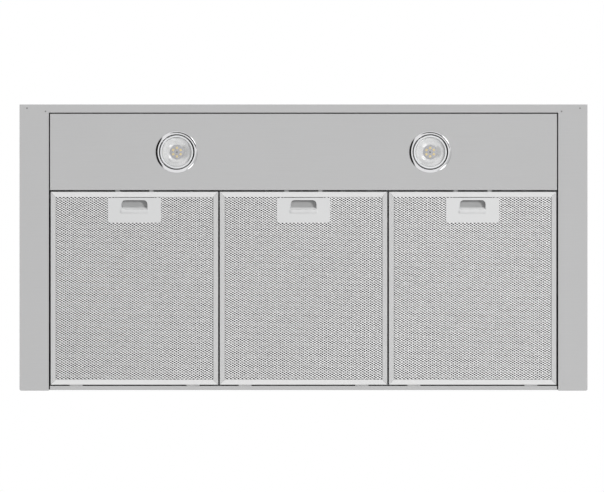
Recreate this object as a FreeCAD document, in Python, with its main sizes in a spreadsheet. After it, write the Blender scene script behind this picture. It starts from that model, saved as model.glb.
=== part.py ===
import FreeCAD, Part
import math
import os
import re

import Sketcher

# Range hood insert, seen from below in use.  X runs to the right, -Y is the front
# edge above the cook, +Z is up.  The origin is the middle of the footprint at the
# level of the underside flanges.  All sizes are millimetres.

Vector = FreeCAD.Vector
document = FreeCAD.newDocument("range_hood_insert")

# ---------------------------------------------------------------------------
# Driving sizes
# ---------------------------------------------------------------------------

SIZES = [
    # outer shell
    ("overall_width", 873, "outside width of the sheet shell"),
    ("overall_depth", 440, "outside depth of the sheet shell"),
    ("shell_height", 68, "height of the low shell"),
    ("sheet", 1, "steel sheet thickness"),
    ("side_strip", 45, "width of each underside side strip"),
    ("front_strip", 12.5, "depth of the underside front strip"),
    ("rear_strip", 6.4, "depth of the ledge that carries the filters"),
    ("strip_lip", 12, "upturned edge of the underside strips"),
    ("rear_return", 20, "rear return flange of each side wall"),
    ("side_screw_inset", 88, "side screws of the top panel, from the front and rear edges"),
    ("rear_corner_radius", 3, "bend radius of the rear corners"),
    ("panel_flange", 12, "turned-down edge of the top panel"),
    ("trim_gap", 1.7, "gap round the lamp panel"),
    ("seat_gap", 0.3, "clearance of a loosely seated piece"),
    ("slip", 0.1, "clearance of a piece slid into its hole"),
    # lamp panel and lamps
    ("lamp_panel_depth", 117.3, "depth of the lamp panel"),
    ("lamp_panel_lift", 2, "lamp panel face above the strips"),
    ("lamp_panel_edge", 14, "upturned edges of the lamp panel"),
    ("lamp_from_side", 241.5, "lamp centre from the shell's side"),
    ("lamp_from_panel_front", 58.8, "lamp centre behind the panel's front edge"),
    ("bezel_radius", 32.5, "outside of the lamp bezel"),
    ("bezel_drop", 1.7, "how far the bezel stands below the panel"),
    ("bezel_sleeve_radius", 27.9, "outside of the bezel's sleeve"),
    ("bezel_sleeve_height", 8, "height of the bezel's sleeve above the panel face"),
    ("bezel_flat", 3, "sloped outer band of the bezel"),
    ("bezel_edge", 0.6, "rolled edge of the bezel"),
    ("lens_radius", 25.4, "lamp lens"),
    ("lens_thickness", 1.8, "lamp lens"),
    ("lens_drop", 0.2, "lens face below the panel face"),
    ("lamp_body_height", 40, "heat sink of the lamp"),
    ("lamp_floor", 4, "heat sink between the reflector bore and the fins"),
    ("fin_gaps", 6, "straight gaps between the cooling fins"),
    ("fin_thickness", 3, "cooling fins on the heat sink"),
    ("lamp_cup_radius", 22.5, "reflector bore of the lamp"),
    ("lamp_cup_depth", 6, "reflector bore of the lamp"),
    ("led_board_radius", 11, "round board that carries the light chips"),
    ("led_board_thickness", 1.6, "round board that carries the light chips"),
    ("clip_width", 9, "spring clips that hold the lamp"),
    ("clip_reach", 12, "how far a spring clip stands out over the panel"),
    ("clip_sheet", 0.8, "spring clips that hold the lamp"),
    ("clip_grip", 2.2, "how far a spring clip reaches over the bezel's sleeve"),
    ("driver_length", 92, "lamp driver"),
    ("driver_width", 42, "lamp driver"),
    ("driver_height", 24, "lamp driver"),
    ("driver_foot", 9, "screw feet at the ends of the lamp driver"),
    ("driver_foot_height", 2, "screw feet at the ends of the lamp driver"),
    # filters
    ("filter_gap", 2, "gap between two filters"),
    ("filter_side_gap", 2.5, "gap between an outer filter and the side lip"),
    ("filter_rear_gap", 1.6, "gap between the filters and the rear ledge"),
    ("filter_height", 9, "filter cassette"),
    ("filter_front_gap", 2.6, "gap between lamp panel and filters"),
    ("filter_wall", 1, "sheet of the filter frame"),
    ("frame_band", 8, "visible band of the filter frame"),
    ("tab_width", 20, "rear tab of a filter"),
    ("tab_length", 6, "rear tab of a filter"),
    ("tab_offset", 90, "rear tab from the filter's middle"),
    ("tab_thickness", 1.2, "rear tab of a filter"),
    ("net_thickness", 0.8, "front net of a filter"),
    ("net_columns", 9, "coarse diamonds across a net"),
    ("net_rows", 6, "coarse diamond rows along a net"),
    ("net_strand", 5, "coarse strand width"),
    ("net_slant", 1.3, "sideways width of a slanted strand, in strand widths"),
    ("pleats", 16, "folds of the inner grease layer"),
    ("pleat_sheet", 0.8, "sheet of the inner grease layer"),
    # filter latch
    ("latch_plate_width", 82, "latch plate"),
    ("latch_plate_depth", 38.5, "latch plate"),
    ("latch_plate_thickness", 0.8, "latch plate"),
    ("latch_plate_radius", 3.5, "rear corners of the latch plate"),
    ("latch_set_back", 1.3, "latch plate behind the frame band"),
    ("finger_width", 40, "finger recess"),
    ("finger_depth", 13.6, "finger recess in front of the lip"),
    ("finger_from_front", 3.6, "finger recess behind the plate's front edge"),
    ("finger_radius", 6.5, "front corners of the finger recess"),
    ("lip_depth", 6.4, "thumb lip"),
    ("lip_thickness", 0.6, "thumb lip"),
    ("cup_wall", 1.2, "wall of the finger cup behind the thumb lip"),
    ("cup_overlap", 1.2, "roof of the finger cup in front of the recess"),
    ("latch_travel", 4.5, "latch stroke"),
    ("tongue_width", 6.4, "latch tongue"),
    ("tongue_offset", 26, "latch tongue from the filter's middle"),
    ("tongue_thickness", 1.5, "latch tongue and slide"),
    ("slide_half_width", 30, "latch slide"),
    ("slide_front", 6, "front end of the slide's side arms"),
    ("slide_lift", 0.7, "latch slide above the latch plate"),
    ("housing_wall", 1, "latch housing"),
    ("housing_height", 6.5, "latch housing above the plate"),
    ("housing_rear", 41, "inside rear wall of the latch housing"),
    ("slide_rear", 34, "rear end of the latch slide"),
    ("leaf_thickness", 0.4, "leaf spring"),
    ("leaf_height", 3, "leaf spring"),
    ("leaf_half_length", 24, "leaf spring"),
    # motor box and blower
    ("box_width", 380, "motor box"),
    ("box_depth", 260, "motor box"),
    ("box_height", 188, "motor box"),
    ("box_from_rear", 40, "motor box in front of the shell's rear edge"),
    ("box_flange", 14, "foot flange of the motor box"),
    ("box_corner_radius", 4, "vertical corners of the motor box"),
    ("box_screw_inset", 15, "outer foot screws from the ends of the motor box"),
    ("air_hole_inset_x", 38, "air hole inside the motor box, sideways"),
    ("air_hole_inset_y", 15, "air hole inside the motor box, lengthways"),
    ("wheel_radius", 70, "blower wheel"),
    ("wheel_half_width", 60, "blower wheel"),
    ("blade_inner_radius", 57, "blower wheel"),
    ("blade_count", 30, "blower wheel"),
    ("blade_thickness", 1, "blower wheel"),
    ("blade_lean", 9, "forward sweep of a blade, degrees"),
    ("blade_folds", 2, "straight folds across a blade"),
    ("blade_foot", 4, "how far the end rings reach in over the blades"),
    ("wheel_disc", 2, "middle disc of the wheel"),
    ("wheel_ring", 1.5, "end ring of the wheel"),
    ("hub_radius", 11, "hub of the wheel"),
    ("hub_length", 16, "hub of the wheel"),
    ("scroll_half_width", 70, "scroll between its side plates"),
    ("scroll_start_radius", 78, "scroll at its tongue"),
    ("scroll_growth", 40, "gain of the scroll radius over a full turn"),
    ("scroll_axis_above_top", 92, "wheel axis above the top panel"),
    ("tongue_angle", 95, "place of the scroll's tongue, degrees"),
    ("inlet_radius", 58, "throat of the scroll inlet"),
    ("inlet_mouth_radius", 64, "mouth of the scroll inlet"),
    ("inlet_depth", 6, "bell mouth depth"),
    ("scroll_flange", 12, "outlet flange of the scroll"),
    ("motor_radius", 40, "motor"),
    ("motor_length", 58, "motor"),
    ("motor_nose_radius", 18, "motor end cap"),
    ("motor_nose_length", 2.5, "motor end cap"),
    ("motor_bevel", 4, "rounded ends of the motor"),
    ("motor_end_wall", 5, "closed end of the motor"),
    ("shaft_radius", 4, "motor shaft"),
    ("shaft_length", 76, "motor shaft"),
    ("bearing_clearance", 0.05, "shaft in its bearing"),
    ("bracket_sheet", 1.5, "motor bracket"),
    ("bracket_ring_radius", 32, "motor bracket"),
    ("bracket_hole_radius", 20, "motor bracket"),
    ("bracket_arm_width", 14, "motor bracket"),
    ("bracket_reach", 74, "motor bracket"),
    ("capacitor_radius", 14, "motor capacitor"),
    ("capacitor_height", 58, "motor capacitor"),
    ("capacitor_from_rear", 60, "motor capacitor in front of the motor box's rear"),
    ("capacitor_bevel", 1, "motor capacitor"),
    # duct collar and back-draught flaps
    ("collar_radius", 75, "outside of the round duct collar"),
    ("collar_sheet", 1, "collar wall"),
    ("collar_height", 46, "collar above the motor box"),
    ("collar_share", 0.35, "place of the collar along the motor box, as a share of its depth"),
    ("collar_flange_radius", 88, "collar flange"),
    ("collar_rim_height", 5, "turned-up rim of the collar flange"),
    ("collar_screw_offset", 34, "collar screws in front of and behind the collar's middle"),
    ("flap_axis_height", 19, "flap pin above the collar flange"),
    ("flap_pin_radius", 2, "flap pin"),
    ("flap_knuckle_radius", 3.2, "rolled eye of a flap"),
    ("flap_sheet", 0.8, "flap sheet"),
    ("flap_rim_gap", 1.4, "gap round the flap"),
    ("flap_seat", 2.4, "inner seat ring that the flaps close on"),
    ("flap_seat_height", 1.2, "inner seat ring that the flaps close on"),
    ("knuckle_length", 14, "rolled eye of a flap"),
    ("knuckle_offset", 34, "rolled eye from the middle of the pin"),
    ("running_gap", 0.3, "gap between neighbouring moving pieces"),
    # electrical box
    ("terminal_box_width", 110, "electrical box"),
    ("terminal_box_depth", 100, "electrical box"),
    ("terminal_box_height", 45, "electrical box"),
    ("terminal_box_from_side", 51.5, "electrical box from the shell's left side"),
    ("terminal_box_from_front", 150, "electrical box behind the shell's front edge"),
    ("knockout_radius", 11, "cable entry"),
    ("knockout_height", 18, "cable entry above the foot of the electrical box"),
    ("cover_tab", 12, "screw tabs under the cover"),
    ("board_width", 74, "control board"),
    ("board_depth", 52, "control board"),
    ("board_thickness", 1.6, "control board"),
    ("board_standoff", 6, "control board"),
    ("post_radius", 2.5, "posts under the control board"),
    ("post_inset", 5, "posts under the control board"),
    ("relay_width", 15, "relays on the control board"),
    ("relay_depth", 18, "relays on the control board"),
    ("relay_height", 14, "relays on the control board"),
    ("relay_pitch", 19, "relays on the control board"),
    ("block_width", 42, "terminal block"),
    ("block_depth", 16, "terminal block"),
    ("block_height", 14, "terminal block"),
    ("block_set_back", 3, "terminal block behind the front wall of its box"),
    ("well_radius", 4, "screw wells of the terminal block"),
    ("well_depth", 5, "screw wells of the terminal block"),
    # fasteners
    ("screw_radius", 1.9, "sheet metal screw"),
    ("screw_head_radius", 3.6, "sheet metal screw, over the corners of its hex head"),
    ("screw_head_height", 2.2, "sheet metal screw"),
    ("screw_length", 8, "sheet metal screw"),
    ("rivet_radius", 1.2, "blind rivet"),
    ("rivet_head_radius", 2, "blind rivet"),
    ("rivet_head_height", 1, "blind rivet"),
    ("outer_rivet_from_side", 11.5, "rivet beside the shell's corner"),
    ("outer_rivet_from_front", 5.7, "rivet beside the shell's corner"),
    ("inner_rivet_from_mouth", 5.1, "rivet beside the corner of the mouth"),
    ("inner_rivet_from_front", 10.7, "rivet beside the corner of the mouth"),
    ("mount_hole_radius", 2.6, "fixing hole in a side wall"),
    ("mount_hole_spacing", 300, "distance between the fixing holes of a side"),
    ("mount_hole_height", 40, "fixing hole above the underside"),
]

# Places that follow from the sizes, each a formula of the sizes above.
PLACES = [
    ("half_width", "overall_width / 2"),
    ("half_depth", "overall_depth / 2"),
    ("strip_edge_x", "half_width - side_strip"),
    ("strip_edge_y", "-half_depth + front_strip"),
    ("panel_half_width", "strip_edge_x - trim_gap"),
    ("panel_front_y", "strip_edge_y + trim_gap"),
    ("panel_rear_y", "panel_front_y + lamp_panel_depth"),
    ("lamp_x", "half_width - lamp_from_side"),
    ("lamp_y", "panel_front_y + lamp_from_panel_front"),
    ("filter_front_y", "panel_rear_y + filter_front_gap"),
    ("rear_face_y", "half_depth - sheet"),
    ("ledge_y", "rear_face_y - rear_strip"),
    ("filter_width", "(strip_edge_x * 2 - filter_side_gap * 2 - filter_gap * 2) / 3"),
    ("filter_pitch", "filter_width + filter_gap"),
    ("filter_depth", "ledge_y - filter_rear_gap - filter_front_y"),
    ("filter_low_z", "sheet + seat_gap"),
    ("filter_top_z", "filter_low_z + filter_height"),
    ("net_low_z", "filter_low_z + filter_wall"),
    ("net_top_z", "net_low_z + net_thickness"),
    ("plate_low_z", "net_low_z - latch_plate_thickness"),
    ("plate_front", "frame_band + latch_set_back"),
    ("plate_rear", "plate_front + latch_plate_depth"),
    ("finger_front", "plate_front + finger_from_front"),
    ("lip_front", "finger_front + finger_depth"),
    ("lip_rear", "lip_front + lip_depth"),
    ("lip_low_z", "plate_low_z - seat_gap - lip_thickness"),
    ("slide_low_z", "net_low_z + slide_lift"),
    ("slide_top_z", "slide_low_z + tongue_thickness"),
    ("housing_top_z", "net_low_z + housing_height"),
    ("tongue_tip", "-filter_front_gap + seat_gap"),
    ("top_z", "shell_height"),
    ("top_under_z", "shell_height - sheet"),
    ("box_top_z", "top_z + box_height"),
    ("box_rear_y", "half_depth - box_from_rear"),
    ("box_front_y", "box_rear_y - box_depth"),
    ("scroll_axis_height", "top_z + scroll_axis_above_top"),
    ("collar_y", "box_front_y + box_depth * collar_share"),
    ("collar_foot_z", "box_top_z + sheet"),
    ("flap_z", "collar_foot_z + flap_axis_height"),
    ("terminal_box_x", "-half_width + terminal_box_from_side + terminal_box_width / 2"),
    ("terminal_box_y", "-half_depth + terminal_box_from_front + terminal_box_depth / 2"),
]


def qualified(text):
    """A formula of plain names, with each name given its sheet."""
    def with_sheet(match):
        word = match.group(0)
        if word in SIZE_NAMES:
            return "Sizes." + word
        if word in PLACE_NAMES:
            return "Places." + word
        return word
    return re.sub(r"[a-z_]+", with_sheet, str(text))


def fill_sheet(name, rows):
    sheet = document.addObject("Spreadsheet::Sheet", name)
    for line, row in enumerate(rows, start=1):
        sheet.set("A%d" % line, row[0])
        sheet.set("B%d" % line, str(row[1]))
        sheet.setAlias("B%d" % line, row[0])
        if len(row) > 2:
            sheet.set("C%d" % line, row[2])
    return sheet


SIZE_NAMES = {row[0] for row in SIZES}
PLACE_NAMES = {row[0] for row in PLACES}
sizes = fill_sheet("Sizes", SIZES)
places = fill_sheet("Places", [(name, "=" + qualified(text)) for name, text in PLACES])
document.recompute()


def number(text):
    """The value of a formula of sizes and places."""
    return float(sizes.evalExpression(qualified(text)))


# ---------------------------------------------------------------------------
# Ways of making a piece
# ---------------------------------------------------------------------------

pieces = []
NORMALS = {"XY_Plane": 1, "XZ_Plane": -1, "YZ_Plane": 1}


def new_body(label):
    body = document.addObject("PartDesign::Body", label)
    body.Label = label
    pieces.append(body)
    return body


def place(piece, x="0", y="0", z="0"):
    """Bind the place of a piece to formulas."""
    for axis, text in (("x", x), ("y", y), ("z", z)):
        piece.setExpression("Placement.Base." + axis, qualified(text))


def new_sketch(body, plane, height):
    """A sketch on an origin plane of its own body, moved along the plane's axis."""
    sketch = body.newObject("Sketcher::SketchObject", "Sketch")
    origin_plane = [f for f in body.Origin.OriginFeatures if f.Role == plane][0]
    sketch.AttachmentSupport = (origin_plane, [""])
    sketch.MapMode = "FlatFace"
    sign = "" if NORMALS[plane] > 0 else "-"
    sketch.setExpression("AttachmentOffset.Base.z", qualified("%s(%s)" % (sign, height)))
    return sketch


def hold(sketch, kind, *where, value):
    """A driving dimension, bound to its formula."""
    index = sketch.addConstraint(Sketcher.Constraint(kind, *where, number(value)))
    sketch.setExpression("Constraints[%d]" % index, qualified(value))


def draw_outline(sketch, corners):
    """A closed outline through corners given as formulas."""
    first = sketch.GeometryCount
    count = len(corners)
    points = [Vector(number(u), number(v), 0) for u, v in corners]
    for i in range(count):
        sketch.addGeometry(Part.LineSegment(points[i], points[(i + 1) % count]), False)
    for i in range(count):
        following = first + (i + 1) % count
        sketch.addConstraint(Sketcher.Constraint("Coincident", first + i, 2, following, 1))
    for i, (u, v) in enumerate(corners):
        hold(sketch, "DistanceX", -1, 1, first + i, 1, value=u)
        hold(sketch, "DistanceY", -1, 1, first + i, 1, value=v)


def draw_circle(sketch, u, v, radius):
    centre = Vector(number(u), number(v), 0)
    circle = Part.Circle(centre, Vector(0, 0, 1), number(radius))
    index = sketch.addGeometry(circle, False)
    hold(sketch, "DistanceX", -1, 1, index, 3, value=u)
    hold(sketch, "DistanceY", -1, 1, index, 3, value=v)
    hold(sketch, "Radius", index, value=radius)


def rectangle(u_low, u_high, v_low, v_high):
    return [(u_low, v_low), (u_high, v_low), (u_high, v_high), (u_low, v_high)]


def add(body, plane, start, length, outlines=(), circles=(), remove=False):
    """Pad, or pocket, outlines and circles from start along the plane's axis."""
    sketch = new_sketch(body, plane, start)
    for corners in outlines:
        draw_outline(sketch, corners)
    for circle in circles:
        draw_circle(sketch, *circle)
    before = body.Shape.Volume if body.Tip else 0
    kind = "PartDesign::Pocket" if remove else "PartDesign::Pad"
    feature = body.newObject(kind, "Pocket" if remove else "Pad")
    feature.Profile = sketch
    feature.setExpression("Length", qualified(length))
    feature.Reversed = (NORMALS[plane] > 0) == remove
    document.recompute()
    after = body.Shape.Volume
    if (after >= before) == remove:
        raise ValueError("%s: a feature left its volume at %.1f" % (body.Label, after))
    return feature


def cut(body, plane, start, length, outlines=(), circles=()):
    return add(body, plane, start, length, outlines, circles, remove=True)


def turn(body, corners, plane="XZ_Plane", axis="V_Axis"):
    """A solid of revolution about an axis of its sketch plane."""
    sketch = new_sketch(body, plane, "0")
    draw_outline(sketch, corners)
    feature = body.newObject("PartDesign::Revolution", "Turned")
    feature.Profile = sketch
    feature.ReferenceAxis = (sketch, [axis])
    feature.Angle = 360
    document.recompute()
    return feature


def round_edges(body, radius, chosen):
    """Fillet the edges of the body for which chosen(edge) holds."""
    base = body.Tip
    names = []
    for i, edge in enumerate(base.Shape.Edges, start=1):
        if chosen(edge):
            names.append("Edge%d" % i)
    if not names:
        raise ValueError("%s: no edge to round" % body.Label)
    feature = body.newObject("PartDesign::Fillet", "Rounded")
    feature.Base = (base, names)
    feature.setExpression("Radius", qualified(radius))
    document.recompute()
    return feature


def upright_at(corners):
    """Chooses upright edges that stand at one of the given points."""
    spots = [(number(x), number(y)) for x, y in corners]

    def chosen(edge):
        if len(edge.Vertexes) != 2:
            return False
        low, high = edge.Vertexes[0].Point, edge.Vertexes[1].Point
        if abs(low.x - high.x) > 1e-6 or abs(low.y - high.y) > 1e-6:
            return False
        return any(abs(low.x - x) < 1e-4 and abs(low.y - y) < 1e-4 for x, y in spots)
    return chosen


def made_shape(label, shape):
    """A piece whose form comes from a formula rather than from sketches."""
    piece = document.addObject("Part::Feature", label)
    piece.Label = label
    piece.Shape = shape
    pieces.append(piece)
    return piece


def face_of(points):
    return Part.Face(Part.makePolygon(points + points[:1]))


# ---------------------------------------------------------------------------
# Shell
# ---------------------------------------------------------------------------

RIVETS = [("half_width - outer_rivet_from_side", "-half_depth + outer_rivet_from_front"),
          ("strip_edge_x + inner_rivet_from_mouth", "-half_depth + inner_rivet_from_front")]
SIDE_SCREWS = ["-half_depth + side_screw_inset", "half_depth - side_screw_inset"]


def both_sides(spots):
    return [(sign + "(" + x + ")", y) for sign in ("-", "") for x, y in spots]


def outer_shell():
    """Front and side walls with their underside strips, folded from one sheet."""
    body = new_body("outer_shell")
    add(body, "XY_Plane", "0", "shell_height",
        [rectangle("-half_width", "half_width", "-half_depth", "half_depth")])
    inside = rectangle("-half_width + sheet", "half_width - sheet",
                       "-half_depth + sheet", "half_depth - sheet")
    cut(body, "XY_Plane", "sheet", "shell_height", [inside])
    round_edges(body, "rear_corner_radius - sheet", upright_at(
        [("half_width - sheet", "half_depth - sheet"),
         ("-half_width + sheet", "half_depth - sheet")]))
    round_edges(body, "rear_corner_radius",
                upright_at([("half_width", "half_depth"), ("-half_width", "half_depth")]))
    mouth = rectangle("-strip_edge_x", "strip_edge_x", "strip_edge_y", "half_depth + sheet")
    cut(body, "XY_Plane", "-sheet", "sheet * 2", [mouth])
    rear_opening = rectangle("-half_width + rear_return", "half_width - rear_return",
                             "sheet", "shell_height + sheet")
    cut(body, "XZ_Plane", "half_depth - sheet * 1.5", "sheet * 3", [rear_opening])
    lip_outline = [
        ("-strip_edge_x - sheet", "strip_edge_y - sheet"),
        ("strip_edge_x + sheet", "strip_edge_y - sheet"),
        ("strip_edge_x + sheet", "half_depth - sheet * 3"),
        ("strip_edge_x", "half_depth - sheet * 3"),
        ("strip_edge_x", "strip_edge_y"),
        ("-strip_edge_x", "strip_edge_y"),
        ("-strip_edge_x", "half_depth - sheet * 3"),
        ("-strip_edge_x - sheet", "half_depth - sheet * 3"),
    ]
    add(body, "XY_Plane", "sheet / 2", "strip_lip", [lip_outline])
    cut(body, "XY_Plane", "-sheet", "sheet * 3", circles=[
        (x, y, "rivet_radius + slip / 2") for x, y in both_sides(RIVETS)])
    fixing = [("-mount_hole_spacing / 2", "mount_hole_height", "mount_hole_radius"),
              ("mount_hole_spacing / 2", "mount_hole_height", "mount_hole_radius")]
    screws = [(y, "top_z - panel_flange / 2", "screw_radius + slip") for y in SIDE_SCREWS]
    for start in ("-half_width - sheet", "half_width - sheet * 1.5"):
        cut(body, "YZ_Plane", start, "sheet * 2.5", circles=fixing + screws)


def rear_panel():
    """Back wall with the ledge that the rear tabs of the filters lie on."""
    body = new_body("rear_panel")
    add(body, "YZ_Plane", "-panel_half_width", "panel_half_width * 2", [[
        ("ledge_y", "0"),
        ("rear_face_y", "0"),
        ("rear_face_y", "top_under_z"),
        ("rear_face_y - sheet", "top_under_z"),
        ("rear_face_y - sheet", "sheet"),
        ("ledge_y", "sheet")]])
    wing = "half_width - rear_corner_radius - slip"
    for low, high in (("-(%s)" % wing, "-panel_half_width"), ("panel_half_width", wing)):
        add(body, "XZ_Plane", "rear_face_y - sheet", "sheet",
            [rectangle(low, high, "sheet + seat_gap", "top_under_z")])


def top_panel():
    """Lid of the shell, with the air hole under the motor box."""
    body = new_body("top_panel")
    low_x, high_x = "-half_width + sheet", "half_width - sheet"
    low_y, high_y = "-half_depth + sheet", "rear_face_y - sheet"
    add(body, "XY_Plane", "top_z - panel_flange", "panel_flange",
        [rectangle(low_x, high_x, low_y, high_y)])
    round_edges(body, "rear_corner_radius - sheet + slip",
                upright_at([(low_x, high_y), (high_x, high_y)]))
    cut(body, "XY_Plane", "top_z - panel_flange - sheet", "panel_flange",
        [rectangle(low_x + " + sheet", high_x + " - sheet",
                   low_y + " + sheet", high_y + " - sheet")])
    cut(body, "XY_Plane", "top_under_z - sheet", "sheet * 3",
        [rectangle("-box_width / 2 + air_hole_inset_x", "box_width / 2 - air_hole_inset_x",
                   "box_front_y + air_hole_inset_y", "box_rear_y - air_hole_inset_y")])
    cut(body, "XY_Plane", "top_under_z - sheet", "sheet * 3",
        circles=[(x, y, "screw_radius + slip") for x, y in BOX_SCREWS])
    screws = [(y, "top_z - panel_flange / 2", "screw_radius + slip") for y in SIDE_SCREWS]
    for start in ("-half_width", "half_width - sheet * 2.5"):
        cut(body, "YZ_Plane", start, "sheet * 2.5", circles=screws)


def chamber_wall(label, sign):
    """Side wall of the air chamber, with a foot that doubles the side strip."""
    body = new_body(label)
    inner, outer = "strip_edge_x + sheet", "half_width - sheet * 2"
    corners = [(inner, "sheet"), (outer, "sheet"), (outer, "sheet * 2"),
               (inner + " + sheet", "sheet * 2"), (inner + " + sheet", "top_under_z"),
               (inner, "top_under_z")]
    mirrored = [("%s(%s)" % (sign, x), z) for x, z in corners]
    front, rear = "-half_depth + sheet * 2 + slip", "rear_face_y - sheet * 2 - slip"
    add(body, "XZ_Plane", front, "%s - (%s)" % (rear, front), [mirrored])
    cut(body, "XY_Plane", "0", "sheet * 3", circles=[
        ("%s(%s)" % (sign, x), y, "rivet_radius + slip / 2") for x, y in RIVETS])


def lamp_panel():
    """Panel in front of the filters, with the lamp holes and the latch slots."""
    body = new_body("lamp_panel")
    low, high = "lamp_panel_lift", "lamp_panel_lift + lamp_panel_edge"
    add(body, "XY_Plane", low, "lamp_panel_edge",
        [rectangle("-panel_half_width", "panel_half_width", "panel_front_y", "panel_rear_y")])
    cut(body, "XY_Plane", low + " + sheet", "lamp_panel_edge",
        [rectangle("-panel_half_width + sheet", "panel_half_width - sheet",
                   "panel_front_y + sheet", "panel_rear_y - sheet")])
    cut(body, "XY_Plane", "0", high, circles=[
        (x, "lamp_y", "bezel_sleeve_radius + slip") for x in ("-lamp_x", "lamp_x")])
    slots = []
    for middle in ("-filter_pitch", "0", "filter_pitch"):
        for side in ("- tongue_offset", "+ tongue_offset"):
            centre = "%s %s" % (middle, side)
            half = "(tongue_width / 2 + seat_gap * 2)"
            slots.append(rectangle("%s - %s" % (centre, half), "%s + %s" % (centre, half),
                                   "slide_low_z - seat_gap", "slide_top_z + seat_gap * 2"))
    cut(body, "XZ_Plane", "panel_rear_y - sheet * 1.5", "sheet * 2", slots)


def lamp_wall():
    """Upright sheet that parts the lamp space from the air chamber."""
    body = new_body("lamp_wall")
    face, foot = "panel_rear_y - sheet", "slide_top_z + seat_gap * 6"
    add(body, "YZ_Plane", "-strip_edge_x", "strip_edge_x * 2", [[
        (face, foot),
        (face, "top_under_z"),
        (face + " - panel_flange", "top_under_z"),
        (face + " - panel_flange", "top_under_z - sheet"),
        (face + " - sheet", "top_under_z - sheet"),
        (face + " - sheet", foot)]])
    notch_top = "lamp_panel_lift + lamp_panel_edge + slip"
    notch = "panel_half_width - sheet - slip"
    cut(body, "XZ_Plane", face + " - sheet * 2", "sheet * 3", [
        rectangle("-strip_edge_x - sheet", "-(%s)" % notch, "0", notch_top),
        rectangle(notch, "strip_edge_x + sheet", "0", notch_top)])


# ---------------------------------------------------------------------------
# Lamps
# ---------------------------------------------------------------------------

def lamp(side, sign):
    """Bezel, lens, heat sink, light board and clips of one lamp."""
    x = sign + "lamp_x"
    face = "lamp_panel_lift"
    rim = face + " - bezel_drop"
    lens_low = face + " - lens_drop"
    lens_top = lens_low + " + lens_thickness"
    bezel = new_body("%s_lamp_bezel" % side)
    turn(bezel, [
        ("bezel_radius", face),
        ("bezel_radius - bezel_edge", rim + " + bezel_edge"),
        ("bezel_radius - bezel_flat", rim),
        ("bezel_sleeve_radius", rim),
        ("lens_radius - bezel_edge", lens_low + " - slip"),
        ("lens_radius + slip", lens_low + " - slip"),
        ("lens_radius + slip", face + " + bezel_sleeve_height"),
        ("bezel_sleeve_radius", face + " + bezel_sleeve_height"),
        ("bezel_sleeve_radius", face)])
    lens = new_body("%s_lamp_lens" % side)
    turn(lens, [("0", lens_low), ("lens_radius", lens_low),
                ("lens_radius", lens_top), ("0", lens_top)])
    cup_z = lens_top + " + lamp_cup_depth"
    top = lens_top + " + lamp_body_height"
    heat_sink = new_body("%s_lamp_heat_sink" % side)
    turn(heat_sink, [("0", cup_z), ("lamp_cup_radius", cup_z), ("lamp_cup_radius", lens_top),
                     ("lens_radius", lens_top), ("lens_radius", top), ("0", top)])
    pitch = "(lens_radius * 2 - fin_thickness) / fin_gaps"
    gaps = []
    for i in range(int(number("fin_gaps"))):
        low = "-lens_radius + fin_thickness + %d * %s" % (i, pitch)
        gaps.append(rectangle(low, "%s + %s - fin_thickness" % (low, pitch),
                              "-lens_radius * 2", "lens_radius * 2"))
    cut(heat_sink, "XY_Plane", cup_z + " + lamp_floor", "lamp_body_height", gaps)
    board = new_body("%s_lamp_board" % side)
    turn(board, [("0", cup_z + " - led_board_thickness"),
                 ("led_board_radius", cup_z + " - led_board_thickness"),
                 ("led_board_radius", cup_z), ("0", cup_z)])
    clips = new_body("%s_lamp_clips" % side)
    clip_low = face + " + bezel_sleeve_height"
    clip_top = clip_low + " + clip_sheet"
    foot = face + " + sheet + slip"
    near, far = "bezel_sleeve_radius - clip_grip", "bezel_sleeve_radius + clip_reach"
    one_clip = [(near, clip_low), ("bezel_sleeve_radius + clip_sheet", clip_low),
                (far, foot), (far + " + clip_sheet * 2", foot),
                ("bezel_sleeve_radius + clip_sheet * 2", clip_top), (near, clip_top)]
    other_clip = [("-(%s)" % r, z) for r, z in one_clip]
    add(clips, "XZ_Plane", "-clip_width / 2", "clip_width", [one_clip, other_clip])
    for piece in (bezel, lens, heat_sink, board, clips):
        place(piece, x, "lamp_y")


def lamp_driver():
    """Power supply of the lamps, fixed under the top panel."""
    body = new_body("lamp_driver")
    middle_y = "lamp_y"
    add(body, "XY_Plane", "top_under_z - driver_height", "driver_height",
        [rectangle("-driver_length / 2", "driver_length / 2",
                   middle_y + " - driver_width / 2", middle_y + " + driver_width / 2")])
    for start in ("-driver_length / 2 - sheet", "driver_length / 2 - driver_foot"):
        cut(body, "YZ_Plane", start, "driver_foot + sheet",
            [rectangle(middle_y + " - driver_width", middle_y + " + driver_width",
                       "top_under_z - driver_height - sheet",
                       "top_under_z - driver_foot_height")])


# ---------------------------------------------------------------------------
# Filters
# ---------------------------------------------------------------------------

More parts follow.
